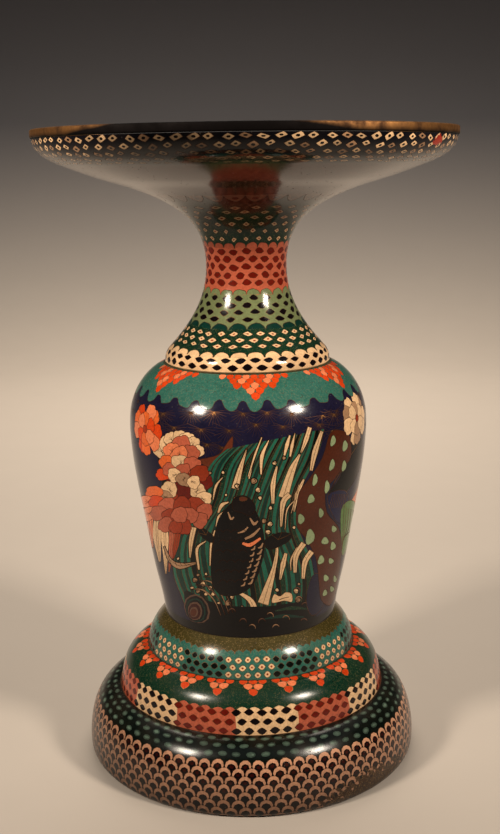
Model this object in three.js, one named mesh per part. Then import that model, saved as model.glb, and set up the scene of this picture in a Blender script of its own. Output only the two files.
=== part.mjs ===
// Cloisonne jardiniere: a wide flat dish on a trumpet neck, standing on a jar with a stepped foot.
// Every piece is turned about the vertical axis. Lengths are in millimetres, Z is up, the floor is z = 0.

import * as THREE from 'three';

// How finely the curves are cut
const facetsRound = 44;
const fineSteps = 8;
const middleSteps = 6;
const coarseSteps = 4;

// Walls and fits
const dishWall = 3;
const bodyWall = 3;
const footWall = 3.4;
const seatGap = 0.3;
const spigotGap = 1.2;

// Foot: three tiers under a flat seat for the jar
const footHeight = 104;
const floorRadius = 116;
const floorRimWidth = 5;
const lowTierRadius = 121.5;
const lowTierBulgeHeight = 9;
const lowTierTopHeight = 48.5;
const middleTierRadius = 97.8;
const middleTierTopHeight = 79;
const topTierRadius = 76.5;
const footSeatInset = 0.2;
const footSeatWidth = 16;

// Jar
const bodyHeight = 185.2;
const bodyBaseRadius = 63;
const bodyWaistRadius = 72;
const bodyWaistHeight = 47;
const bellyRadius = 85;
const bellyHeight = 143;
const collarLedge = 1.4;
const mouthGap = 5;
const bodySpigotHeight = 5;
const mouthLipHeight = 5;
const mouthLipWidth = 3;

// Dish, with the neck and the collar that it stands on
const dishHeight = 154.2;
const collarRadius = 58.6;
const collarHeight = 9;
const collarBevel = 1;
const collarTopRadius = 56.4;
const neckRadius = 28.3;
const neckHeight = 67;
const underDishRadius = 100;
const underDishHeight = 127.5;
const turnWidth = 22.8;
const turnHeight = 18.9;
const dishRadius = 144.8;

// Metal binding on the edge of the dish
const bandOverhang = 0.7;
const bandHeight = 5.7;
const bandWidth = 4.4;
const bandCorner = 1.1;

// Radii that follow from the piece next to them
const footSeatRadius = bodyBaseRadius - footSeatInset;
const bodySeatRadius = collarRadius + collarLedge;
const mouthRadius = collarRadius - collarBevel - dishWall - mouthGap;
const turnStartRadius = dishRadius - turnWidth;
const turnStartHeight = dishHeight - turnHeight;
const bandRadius = dishRadius + bandOverhang;

// Where each piece starts, from the floor up
const bodyBase = footHeight + seatGap;
const bodyTop = bodyBase + bodyHeight;
const dishBase = bodyTop + seatGap;
const bandBase = dishBase + dishHeight + seatGap;

// A cubic curve through the profile plane, as a list of points from its start to its end.
function curve(start, startPull, endPull, end, steps) {
  const bezier = new THREE.CubicBezierCurve(
    new THREE.Vector2(...start),
    new THREE.Vector2(...startPull),
    new THREE.Vector2(...endPull),
    new THREE.Vector2(...end),
  );
  return bezier.getPoints(steps);
}

// A point part of the way from one value to another.
function between(from, to, share) {
  return from + (to - from) * share;
}

// Joins stretches that share their end points into one line.
function joined(...stretches) {
  const line = [];
  for (const stretch of stretches) {
    for (const point of stretch) {
      const last = line[line.length - 1];
      if (!last || last.distanceTo(point) > 0.01) line.push(point);
    }
  }
  return line;
}

// Every second point of each stretch, with both its ends, for the plainer inside of a wall.
function thinned(stretches) {
  return joined(...stretches.map((stretch) => stretch.filter((point, i) => i % 2 === 0)));
}

// The same line moved towards the axis side by the wall, square to itself at each point.
function inner(line, wall) {
  return line.map((point, i) => {
    const before = line[Math.max(i - 1, 0)];
    const after = line[Math.min(i + 1, line.length - 1)];
    const along = after.clone().sub(before).normalize();
    return new THREE.Vector2(point.x - along.y * wall, point.y + along.x * wall);
  });
}

// A closed ring of points turned about the axis, raised to its place.
function turned(name, ring, base, colour, roughness, metalness) {
  const geometry = new THREE.LatheGeometry([...ring, ring[0].clone()], facetsRound);
  geometry.rotateX(Math.PI / 2);
  const material = new THREE.MeshStandardMaterial({ color: colour, roughness, metalness });
  const mesh = new THREE.Mesh(geometry, material);
  mesh.name = name;
  mesh.position.z = base;
  return mesh;
}

// Outside of the foot: a bulging low tier, a middle tier and a sloping top tier up to the seat.
function footStretches() {
  const floorEdge = [floorRadius, 0];
  const bulge = [lowTierRadius, lowTierBulgeHeight];
  const lowCrease = [middleTierRadius, lowTierTopHeight];
  const middleStart = [middleTierRadius - 1.5, between(lowTierTopHeight, middleTierTopHeight, 0.31)];
  const middleCrease = [topTierRadius, middleTierTopHeight];
  const seatEdge = [footSeatRadius, footHeight];
  const skirt = curve(
    floorEdge,
    [between(floorRadius, lowTierRadius, 0.7), 0],
    [lowTierRadius, lowTierBulgeHeight * 0.3],
    bulge,
    coarseSteps,
  );
  const lowShoulder = curve(
    bulge,
    [lowTierRadius, between(lowTierBulgeHeight, lowTierTopHeight, 0.72)],
    [between(lowTierRadius, middleTierRadius, 0.5), lowTierTopHeight],
    lowCrease,
    middleSteps,
  );
  const middleShoulder = curve(
    middleStart,
    [middleTierRadius - 3.4, between(lowTierTopHeight, middleTierTopHeight, 0.72)],
    [between(topTierRadius, middleTierRadius, 0.4), middleTierTopHeight],
    middleCrease,
    coarseSteps,
  );
  const topShoulder = curve(
    middleCrease,
    [topTierRadius, between(middleTierTopHeight, footHeight, 0.44)],
    [between(footSeatRadius, topTierRadius, 0.42), between(middleTierTopHeight, footHeight, 0.82)],
    seatEdge,
    coarseSteps,
  );
  return [skirt, lowShoulder, middleShoulder, topShoulder];
}

// Inside of the foot: open below, following the tiers, with a round hole through the seat.
function footInside() {
  const hole = footSeatRadius - footSeatWidth;
  const wallLine = inner(thinned(footStretches()), footWall);
  const cavity = wallLine.filter((point) => point.y > lowTierBulgeHeight && point.y < footHeight - 2 * footWall);
  return joined(
    [new THREE.Vector2(hole, footHeight), new THREE.Vector2(hole, footHeight - footWall)],
    [new THREE.Vector2(footSeatRadius - footWall, footHeight - footWall)],
    cavity.reverse(),
    [new THREE.Vector2(lowTierRadius - footWall, lowTierBulgeHeight)],
    [new THREE.Vector2(floorRadius - floorRimWidth, 0)],
  );
}

function makeFoot() {
  const ring = joined(...footStretches(), footInside());
  return turned('foot', ring, 0, 0x2c3b33, 0.28, 0.1);
}

// Outside of the jar, from its base to the edge of the seat for the collar.
function bodyStretches() {
  const base = [bodyBaseRadius, 0];
  const waist = [bodyWaistRadius, bodyWaistHeight];
  const belly = [bellyRadius, bellyHeight];
  const seatEdge = [bodySeatRadius, bodyHeight];
  const lower = curve(
    base,
    [between(bodyBaseRadius, bodyWaistRadius, 0.22), bodyWaistHeight * 0.36],
    [between(bodyBaseRadius, bodyWaistRadius, 0.72), bodyWaistHeight * 0.66],
    waist,
    coarseSteps,
  );
  const side = curve(
    waist,
    [between(bodyWaistRadius, bellyRadius, 0.54), between(bodyWaistHeight, bellyHeight, 0.46)],
    [bellyRadius, between(bodyWaistHeight, bellyHeight, 0.7)],
    belly,
    middleSteps,
  );
  const shoulder = curve(
    belly,
    [bellyRadius, between(bellyHeight, bodyHeight, 0.52)],
    [between(bodySeatRadius, bellyRadius, 0.5), between(bellyHeight, bodyHeight, 0.88)],
    seatEdge,
    middleSteps,
  );
  return [lower, side, shoulder];
}

// Inside of the jar: parallel to the outside, with a closed floor and a lip round the mouth.
function bodyInside() {
  const wallLine = inner(thinned(bodyStretches()), bodyWall);
  const cavity = wallLine.filter((point) => point.y > 2 * bodyWall && point.y < bodyHeight - 2 * bodyWall);
  const lipRadius = mouthRadius - mouthLipWidth;
  return joined(
    [new THREE.Vector2(mouthRadius, bodyHeight), new THREE.Vector2(mouthRadius, bodyHeight + mouthLipHeight)],
    [new THREE.Vector2(lipRadius, bodyHeight + mouthLipHeight)],
    [new THREE.Vector2(lipRadius, bodyHeight - bodyWall), new THREE.Vector2(mouthRadius, bodyHeight - bodyWall)],
    cavity.reverse(),
    [new THREE.Vector2(bodyBaseRadius - bodyWall, bodyWall), new THREE.Vector2(0, bodyWall)],
  );
}

// Under the jar: a flat base with a spigot that drops into the foot.
function bodyUnderside() {
  const spigotRadius = footSeatRadius - footSeatWidth - spigotGap;
  const spigotInside = spigotRadius - bodyWall;
  return [
    new THREE.Vector2(0, 0),
    new THREE.Vector2(spigotInside, 0),
    new THREE.Vector2(spigotInside, -bodySpigotHeight),
    new THREE.Vector2(spigotRadius, -bodySpigotHeight),
    new THREE.Vector2(spigotRadius, 0),
  ];
}

function makeBody() {
  const ring = joined(bodyUnderside(), ...bodyStretches(), bodyInside());
  return turned('body', ring, bodyBase, 0x1d2238, 0.25, 0.1);
}

// Outside of the dish: collar, neck, trumpet underside and the turn up to the edge.
function dishStretches() {
  const collarFoot = [collarRadius - collarBevel, 0];
  const collarEdge = [collarRadius, collarBevel];
  const collarTop = [collarTopRadius, collarHeight];
  const neck = [neckRadius, neckHeight];
  const underDish = [underDishRadius, underDishHeight];
  const turnStart = [turnStartRadius, turnStartHeight];
  const edge = [dishRadius, dishHeight];
  const collar = curve(
    collarEdge,
    [collarRadius, collarHeight * 0.45],
    [between(collarTopRadius, collarRadius, 0.7), collarHeight * 0.8],
    collarTop,
    2,
  );
  const lowerNeck = curve(
    collarTop,
    [between(neckRadius, collarTopRadius, 0.63), between(collarHeight, neckHeight, 0.2)],
    [neckRadius, between(collarHeight, neckHeight, 0.53)],
    neck,
    fineSteps,
  );
  const trumpet = curve(
    neck,
    [neckRadius, between(neckHeight, underDishHeight, 0.47)],
    [between(neckRadius, underDishRadius, 0.19), between(neckHeight, underDishHeight, 0.745)],
    underDish,
    fineSteps,
  );
  const turn = curve(
    turnStart,
    [between(turnStartRadius, dishRadius, 0.7), between(turnStartHeight, dishHeight, 0.3)],
    [between(turnStartRadius, dishRadius, 0.95), between(turnStartHeight, dishHeight, 0.57)],
    edge,
    middleSteps,
  );
  return [[new THREE.Vector2(...collarFoot)], collar, lowerNeck, trumpet, turn];
}

// Inside of the dish: parallel to the outside and open right through the neck.
function dishInside() {
  const wallLine = inner(thinned(dishStretches()), dishWall);
  const kept = wallLine.filter((point) => point.y > collarHeight / 2 && point.y < dishHeight - dishWall);
  return joined(
    [new THREE.Vector2(dishRadius - dishWall, dishHeight)],
    kept.reverse(),
    [new THREE.Vector2(collarRadius - collarBevel - dishWall, 0)],
  );
}

function makeDish() {
  const ring = joined(...dishStretches(), dishInside());
  return turned('dish', ring, dishBase, 0x20242c, 0.3, 0.15);
}

// The binding: a plain ring with rounded upper edges that sits on the edge of the dish.
function makeRimBand() {
  const inside = bandRadius - bandWidth;
  const ring = [
    new THREE.Vector2(inside, 0),
    new THREE.Vector2(bandRadius, 0),
    new THREE.Vector2(bandRadius, bandHeight - bandCorner),
    new THREE.Vector2(bandRadius - bandCorner, bandHeight),
    new THREE.Vector2(inside + bandCorner, bandHeight),
    new THREE.Vector2(inside, bandHeight - bandCorner),
  ];
  return turned('rim_band', ring, bandBase, 0x8a6a3c, 0.35, 0.9);
}

const jardiniere = new THREE.Group();
jardiniere.add(makeFoot(), makeBody(), makeDish(), makeRimBand());

export default jardiniere;
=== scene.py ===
import math

import bmesh
import bpy
import numpy as np
from mathutils import Matrix, Vector
from mathutils.geometry import delaunay_2d_cdt


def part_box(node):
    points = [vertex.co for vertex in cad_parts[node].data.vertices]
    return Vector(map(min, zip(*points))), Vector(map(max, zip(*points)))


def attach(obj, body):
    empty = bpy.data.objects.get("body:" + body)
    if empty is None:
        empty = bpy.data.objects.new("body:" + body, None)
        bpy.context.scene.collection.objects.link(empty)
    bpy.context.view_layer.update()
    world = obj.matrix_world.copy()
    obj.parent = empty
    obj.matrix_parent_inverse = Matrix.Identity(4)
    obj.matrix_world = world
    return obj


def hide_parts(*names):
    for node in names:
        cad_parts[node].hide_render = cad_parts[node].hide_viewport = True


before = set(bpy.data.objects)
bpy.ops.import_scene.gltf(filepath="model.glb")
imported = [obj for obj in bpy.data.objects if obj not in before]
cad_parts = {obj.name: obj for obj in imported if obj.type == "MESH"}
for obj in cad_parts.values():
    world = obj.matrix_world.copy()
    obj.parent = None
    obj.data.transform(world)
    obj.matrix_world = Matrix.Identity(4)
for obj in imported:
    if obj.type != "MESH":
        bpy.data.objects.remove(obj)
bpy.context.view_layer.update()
mm = 0.001  # lengths in the dictionaries are millimetres

# the camera stands where the photographer stood, a little lower than the rim of the dish
cameraSet = {
    "distance": 812.5,      # from the axis of the jar
    "sideways": 1.4,
    "height": 424.5,
    "pitchDown": 12.271,    # degrees
    "roll": 0.65,
    "focalPixels": 1150.0,
    "imageWide": 500,
    "imageHigh": 834,
    "sensor": 36.0,         # lies along the image's long side
}


def cameraMatrix():
    place = Vector((cameraSet["sideways"], -cameraSet["distance"], cameraSet["height"])) * mm
    tilt = Matrix.Rotation(math.radians(90 - cameraSet["pitchDown"]), 4, "X")
    roll = Matrix.Rotation(-math.radians(cameraSet["roll"]), 4, "Z")
    return Matrix.Translation(place) @ tilt @ roll


def addCamera():
    lens = bpy.data.cameras.new("camera")
    lens.sensor_width = cameraSet["sensor"]
    lens.lens = cameraSet["focalPixels"] * cameraSet["sensor"] / cameraSet["imageHigh"]
    lens.clip_start = 0.01
    lens.clip_end = 50
    camera = bpy.data.objects.new("camera", lens)
    bpy.context.collection.objects.link(camera)
    camera.matrix_world = cameraMatrix()
    bpy.context.scene.camera = camera


addCamera()

# enamel colours without the warm tint of the lamps (red, green, blue, 0 to 255)
glazes = {
    "cream": (208, 170, 128),
    "oldCream": (150, 114, 84),
    "pinkCream": (186, 136, 106),
    "dimShell": (92, 64, 50),
    "salmon": (206, 112, 72),
    "orange": (186, 58, 18),
    "paleOrange": (204, 92, 42),
    "brick": (166, 82, 58),
    "rust": (134, 46, 22),
    "darkRed": (92, 20, 10),
    "oxblood": (48, 12, 8),
    "brown": (70, 30, 14),
    "brownRed": (86, 40, 24),
    "underBrown": (52, 23, 15),
    "sage": (100, 108, 72),
    "leaf": (84, 112, 60),
    "paleLeaf": (128, 142, 104),
    "moss": (44, 52, 28),
    "turquoise": (44, 92, 80),
    "teal": (28, 86, 68),
    "deepTeal": (12, 44, 36),
    "forest": (12, 42, 28),
    "greyGreen": (46, 60, 50),
    "paleGrey": (74, 90, 78),
    "blackGreen": (8, 14, 10),
    "midnight": (22, 20, 40),
    "nightBlue": (22, 22, 52),
    "rimBlack": (9, 9, 15),
    "black": (6, 5, 6),
    "softBlack": (13, 7, 9),
    "goldGreen": (62, 54, 24),
    "wornBrown": (74, 46, 22),
    "repairRed": (138, 38, 22),
}
wirePaints = {
    "wire": (120, 82, 48),
    "goldWire": (170, 120, 66),
    "darkWire": (56, 32, 18),
    "dimWire": (88, 56, 34),
    "edgeBrass": (92, 62, 34),
}
fleckedPaints = {"turquoise": 0.6, "forest": 0.4, "goldGreen": 1.0, "moss": 0.4, "wornBrown": 0.8}


def linear(colour):
    share = np.array(colour, float) / 255
    return np.where(share < 0.04045, share / 12.92, ((share + 0.055) / 1.055) ** 2.4)


linearOf = {name: linear(paint) for name, paint in {**glazes, **wirePaints}.items()}

# skins: the smooth turned outside of each solid, read from the section of the solid itself
cornerAngle = 38        # degrees, sharper turns stay crisp
skinStep = 0.4


def sectionLoop(node):
    # the points at y = 0 on the right, linked by the solid's own edges into one ring round the wall
    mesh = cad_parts[node].data
    close = 0.02
    corners, links = [], {}

    def cornerAt(point):
        here = (point.x / mm, point.z / mm)
        for corner in corners:
            if math.dist(corner, here) < close:
                return corner
        corners.append(here)
        return here

    for edge in mesh.edges:
        ends = [mesh.vertices[i].co for i in edge.vertices]
        if all(abs(p.y) < close * mm and p.x > 0 for p in ends):
            a, b = cornerAt(ends[0]), cornerAt(ends[1])
            if a != b:
                links.setdefault(a, set()).add(b)
                links.setdefault(b, set()).add(a)
    loose = [p for p in links if len(links[p]) == 1]
    for end in loose:
        # a flat ring has no edge along the section, so its two ends are linked here
        others = [p for p in loose if p != end]
        other = min(others, key=lambda p: math.dist(p, end) + 100 * abs(p[1] - end[1]))
        links[end].add(other)
        links[other].add(end)
    start = min(links, key=lambda p: (p[1], -p[0]))
    loop = [start]
    ahead = min(links[start])
    while ahead != start:
        loop.append(ahead)
        ahead = next(p for p in links[ahead] if p != loop[-2])
    area = sum(a[0] * b[1] - b[0] * a[1] for a, b in zip(loop, loop[1:] + loop[:1]))
    return loop if area > 0 else loop[::-1]


def splitLoop(node, low, high):
    # outside: from the outermost point just above low up to the outermost just below high; inside: the rest
    loop = sectionLoop(node)
    inReach = [p for p in loop if low - 0.01 <= p[1] <= high + 0.01]
    bottom = min(p[1] for p in inReach)
    top = max(p[1] for p in inReach)
    first = max((p for p in inReach if p[1] < bottom + 0.01), key=lambda p: p[0])
    last = max((p for p in inReach if p[1] > top - 0.01), key=lambda p: p[0])
    start = loop.index(first)
    turned = loop[start:] + loop[:start]
    end = turned.index(last)
    return turned[:end + 1], turned[end:] + turned[:1]


def atCorners(points):
    # the points cut into runs at each sharp corner
    runs = [[points[0]]]
    for before, here, after in zip(points, points[1:], points[2:]):
        runs[-1].append(here)
        inward = math.atan2(here[1] - before[1], here[0] - before[0])
        outward = math.atan2(after[1] - here[1], after[0] - here[0])
        turn = abs((outward - inward + math.pi) % (2 * math.pi) - math.pi)
        if turn > math.radians(cornerAngle):
            runs.append([here])
    runs[-1].append(points[-1])
    return runs


def smoothed(points, step):
    # a curve through all the points, with slopes weighted by the lengths on either side
    p = np.array(points, float)
    gaps = np.hypot(*np.diff(p, axis=0).T)
    t = np.concatenate([[0], np.cumsum(gaps)])
    rates = np.diff(p, axis=0) / gaps[:, None]
    slopes = np.empty_like(p)
    if len(p) > 2:
        weights = gaps[1:] / (gaps[1:] + gaps[:-1])
        slopes[1:-1] = rates[:-1] * weights[:, None] + rates[1:] * (1 - weights[:, None])
        slopes[0] = 1.5 * rates[0] - 0.5 * slopes[1]
        slopes[-1] = 1.5 * rates[-1] - 0.5 * slopes[-2]
    else:
        slopes[:] = rates[0]
    at = np.linspace(0, t[-1], max(2, round(t[-1] / step) + 1))
    i = np.clip(np.searchsorted(t, at, side="right") - 1, 0, len(gaps) - 1)
    u = ((at - t[i]) / gaps[i])[:, None]
    g = gaps[i][:, None]
    ends = (2 * u**3 - 3 * u**2 + 1) * p[i] + (3 * u**2 - 2 * u**3) * p[i + 1]
    return ends + g * ((u**3 - 2 * u**2 + u) * slopes[i] + (u**3 - u**2) * slopes[i + 1])


def makeSkin(points):
    # r, z and the outward normal against the length s along the section, from its first point
    lengths, radii, heights, across, up, corners = [], [], [], [], [], []
    s0 = 0.0
    for run in atCorners(points):
        curve = smoothed(run, skinStep)
        walk = np.concatenate([[0], np.cumsum(np.hypot(*np.diff(curve, axis=0).T))])
        slope = np.gradient(curve, axis=0)
        slope /= np.hypot(*slope.T)[:, None]
        lengths.append(s0 + walk + np.linspace(0, -1e-6, len(walk)))
        radii.append(curve[:, 0])
        heights.append(curve[:, 1])
        across.append(slope[:, 1])
        up.append(-slope[:, 0])
        s0 += walk[-1]
        corners.append(s0)
    return {
        "s": np.concatenate(lengths),
        "r": np.concatenate(radii),
        "z": np.concatenate(heights),
        "across": np.concatenate(across),
        "up": np.concatenate(up),
        "corners": corners[:-1],
        "length": s0,
    }


def onSkin(skin, angle, s):
    # angle 0 is the front and grows to the right
    r = np.interp(s, skin["s"], skin["r"])
    z = np.interp(s, skin["s"], skin["z"])
    return np.stack([r * np.sin(angle), -r * np.cos(angle), z], axis=-1) * mm


def skinNormal(skin, angle, s):
    across = np.interp(s, skin["s"], skin["across"])
    up = np.interp(s, skin["s"], skin["up"])
    return np.stack([across * np.sin(angle), -across * np.cos(angle), up], axis=-1)


# outlines of cells, as lists of points in millimetres on the unrolled skin
def lozenge(x, y, wide, high, full=0.62):
    a, b = wide / 2, high / 2
    side = 0.48 * a
    points = [(a, 0), (side, full * b), (0, b), (-side, full * b)]
    points += [(-px, -py) for px, py in points]
    return [(x + px, y + py) for px, py in points]


def oval(x, y, wide, high, count):
    turns = [2 * math.pi * i / count for i in range(count)]
    return [(x + wide / 2 * math.cos(t), y + high / 2 * math.sin(t)) for t in turns]


def arch(x, foot, wide, high, count=8):
    turns = [math.pi * i / count for i in range(count + 1)]
    return [(x + wide / 2 * math.cos(t), foot + high * math.sin(t) ** 0.8) for t in turns]


def petal(x, y, wide, high, lobes, turn, depth=0.11):
    # a shell-shaped petal that opens towards turn, with a scalloped far edge
    steps = lobes * 4
    points = [(0.14 * wide, -0.46 * high), (0.42 * wide, -0.16 * high)]
    for i in range(steps + 1):
        t = math.pi * i / steps
        reach = 1 - depth * (1 - abs(math.sin(lobes * t)) ** 0.6)
        points.append((wide / 2 * math.cos(t) * reach, 0.54 * high * math.sin(t) ** 0.6 * reach))
    points += [(-0.42 * wide, -0.16 * high), (-0.14 * wide, -0.46 * high)]
    c, s = math.cos(turn), math.sin(turn)
    return [(x + px * s + py * c, y - px * c + py * s) for px, py in points]


def scaleCell(x, y, wide, high):
    a, b = wide / 2, high / 2
    points = [(-a, 0.35 * b), (-0.75 * a, -0.45 * b), (0, -b), (0.75 * a, -0.45 * b), (a, 0.35 * b),
              (0.55 * a, b), (-0.55 * a, b)]
    return [(x + px, y + py) for px, py in points]


def box(left, low, right, high):
    return [(left, low), (right, low), (right, high), (left, high)]


def inset(outline, gap):
    # every side moved inwards by gap, for outlines that turn left or right
    p = np.array(outline, float)
    if gap == 0:
        return p
    ahead = np.roll(p, -1, axis=0) - p
    keep = np.hypot(*ahead.T) > 1e-4
    p = p[keep]
    ahead = np.roll(p, -1, axis=0) - p
    area = np.sum(p[:, 0] * np.roll(p[:, 1], -1) - p[:, 1] * np.roll(p[:, 0], -1))
    ahead /= np.maximum(np.hypot(*ahead.T), 1e-9)[:, None]
    inward = np.stack([-ahead[:, 1], ahead[:, 0]], axis=1) * (1 if area > 0 else -1)
    both = inward + np.roll(inward, 1, axis=0)
    size = np.maximum(np.sum(both * both, axis=1), 0.8)
    return p + both * (2 * gap / size)[:, None]


def cell(outline, *layers):
    # layers run from the outside in: a paint and how far it stands back from the outline
    return [(inset(outline, gap), paint) for paint, gap in layers]


def rowsOf(width, cells, first, pitch, rows, shape, seed=1):
    # cells in rows, every other row half a step along, each a little out of true as if laid by hand
    hand = np.random.default_rng(seed)
    step = width / cells
    shapes = []
    for row in range(rows):
        for i in range(cells):
            x = step * (i + (0.5 if row % 2 else 0.0) + hand.uniform(-0.06, 0.06))
            y = first + pitch * (row + hand.uniform(-0.06, 0.06))
            shapes += shape(x, y, step * hand.uniform(0.9, 1.08), hand.uniform(0.88, 1.1))
    return shapes


def scallops(width, cells, high, paint, wire="wire"):
    step = width / cells
    shapes = []
    for i in range(cells):
        shapes += wired(arch(step * (i + 0.5), -0.6, step * 0.99, high), paint, wire)
    return shapes


wireWidth = 0.36


def wired(outline, paint, wire="wire"):
    return cell(outline, (wire, 0), (paint, wireWidth))


# one band of the skin: a tile is cut into triangles once and copied round the piece
ringSteps = 360         # every band meets its neighbours on the same 360 points
edgeGap = 0.03          # cells stop this far from a band's edges
longestSide = 3.4       # longer straight sides get points on the way, to follow the round of the skin


def shortSided(outline):
    points = []
    for a, b in zip(outline, np.roll(outline, -1, axis=0)):
        pieces = max(1, math.ceil(math.dist(a, b) / longestSide))
        points += [a + (b - a) * k / pieces for k in range(pieces)]
    return np.array(points)


def covers(outline, x, y):
    # which of the points lie inside the outline, however often it winds
    ahead = np.roll(outline, -1, axis=0)
    turns = np.zeros(len(x), int)
    for (ax, ay), (bx, by) in zip(outline, ahead):
        side = (bx - ax) * (y - ay) - (x - ax) * (by - ay)
        turns += ((ay <= y) & (y < by) & (side > 0)).astype(int)
        turns -= ((by <= y) & (y < ay) & (side < 0)).astype(int)
    return turns != 0


def cutTile(width, height, shapes, ground, steps, pitch):
    sides = max(1, round(height / pitch))
    rim = [(width * i / steps, 0) for i in range(steps)]
    rim += [(width, height * i / sides) for i in range(sides)]
    rim += [(width * (1 - i / steps), height) for i in range(steps)]
    rim += [(0, height * (1 - i / sides)) for i in range(sides)]
    points = [Vector(p) for p in rim]
    edges = [(i, (i + 1) % len(rim)) for i in range(len(rim))]
    placed = []
    for outline, paint in shapes:
        outline = np.array(outline, float)
        outline[:, 1] = np.clip(outline[:, 1], edgeGap, height - edgeGap)
        outline = shortSided(outline)
        for shift in (-width, 0, width):
            moved = outline + (shift, 0)
            if moved[:, 0].max() <= 1e-6 or moved[:, 0].min() >= width - 1e-6:
                continue
            start, count = len(points), len(moved)
            edges += [(start + i, start + (i + 1) % count) for i in range(count)]
            points += [Vector(p) for p in moved]
            placed.append((moved, paint))
    across = max(1, round(width / pitch))
    for row in range(1, sides):
        for column in range(across):
            shift = 0.5 if row % 2 else 0.25
            points.append(Vector((width * (column + shift) / across, height * row / sides)))
    flat, _, triangles, _, _, _ = delaunay_2d_cdt(points, edges, [], 0, 1e-5, False)
    flat = np.array([tuple(p) for p in flat])
    triangles = np.array([t for t in triangles if len(t) == 3])
    middle = flat[triangles].mean(1)
    kept = (middle[:, 0] > 0) & (middle[:, 0] < width) & (middle[:, 1] > 0) & (middle[:, 1] < height)
    triangles, middle = triangles[kept], middle[kept]
    owners = np.zeros(len(triangles), int)
    for i, (outline, paint) in enumerate(placed):
        low, high = outline.min(0), outline.max(0)
        near = np.flatnonzero(((middle > low) & (middle < high)).all(1))
        owners[near[covers(outline, middle[near, 0], middle[near, 1])]] = i + 1
    paints = [ground] + [paint for _, paint in placed]
    return flat, triangles, [paints[i] for i in owners], owners


def ripple(skin, angle, s):
    # the hand-laid unevenness of the rows: it dies away at the edges and the creases
    amount = np.interp(s, *zip(*skin["unevenness"]))
    calm = np.ones_like(s)
    for fixed in [0.0, skin["length"], *skin["corners"]]:
        calm *= 1 - np.exp(-((s - fixed) / 3.0) ** 2)
    r = np.interp(s, skin["s"], skin["r"])
    sway = 0.30 * np.sin(23 * angle) * np.cos(s / 4.1) + 0.22 * np.sin(41 * angle) * np.sin(s / 2.7 + 1)
    lift = 0.34 * np.sin(5 * angle + 0.8) + 0.26 * np.sin(17 * angle + s / 9) + 0.18 * np.sin(37 * angle + 2)
    return angle + amount * calm * sway / r, s + amount * calm * lift


def stacked(*bands):
    # each band starts where the one below it ends
    low = 0
    for band in bands:
        band["from"] = low
        low = band["to"]
    return bands


def cutBand(skin, band, seed):
    low, high = band["from"], band["to"]
    count = band.get("count", 36)
    middle = np.interp((low + high) / 2, skin["s"], skin["r"])
    width = 2 * math.pi * middle / count
    shapes = band["cells"](width, high - low) if "cells" in band else []
    tile, triangles, paints, owners = cutTile(
        width, high - low, shapes, band["ground"], ringSteps // count, band.get("pitch", 3.5))
    spread = band.get("spread", 0.10)
    tones = np.random.default_rng(seed).uniform(-spread, spread, (count, owners.max() + 1))
    points, corners, colours, kinds, flecks, runs, angles = [], [], [], [], [], [], []
    for copy in range(count):
        angle = -math.pi + (copy + tile[:, 0] / width) * 2 * math.pi / count
        angles.append(angle)
        runs.append(low + tile[:, 1])
        corners.append(triangles + copy * len(tile))
        where = angle[triangles].mean(1), low + tile[triangles, 1].mean(1)
        names = paints
        if "worn" in band:
            paint, rubbed = band["worn"](*where)
            names = [paint if bad else name for name, bad in zip(paints, rubbed)]
        base = np.array([linearOf[name] for name in names])
        # a band's dim factor is painted shade and light, darkening or brightening the colours by place on the
        # skin
        tone = (1 + tones[copy][owners]) * (band["dim"](*where) if "dim" in band else 1.0)
        colours.append(np.clip(base * tone[:, None], 0, 1))
        kinds.append(np.array([1 if name in wirePaints else 0 for name in names]))
        flecks.append(np.array([fleckedPaints.get(name, 0.0) for name in names]))
    angle = np.concatenate(angles)
    run = np.concatenate(runs)
    angle, run = ripple(skin, angle, run)
    return {
        "co": onSkin(skin, angle, run),
        "run": run,
        "angle": angle,
        "triangles": np.concatenate(corners),
        "colours": np.concatenate(colours),
        "kinds": np.concatenate(kinds),
        "flecks": np.concatenate(flecks),
    }


mapShare = 0.72         # the outside takes this share of the map's height, the hidden side the rest
mapGap = 0.01           # left free between the two
liningStep = 7.0        # the hidden side is coarser


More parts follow.
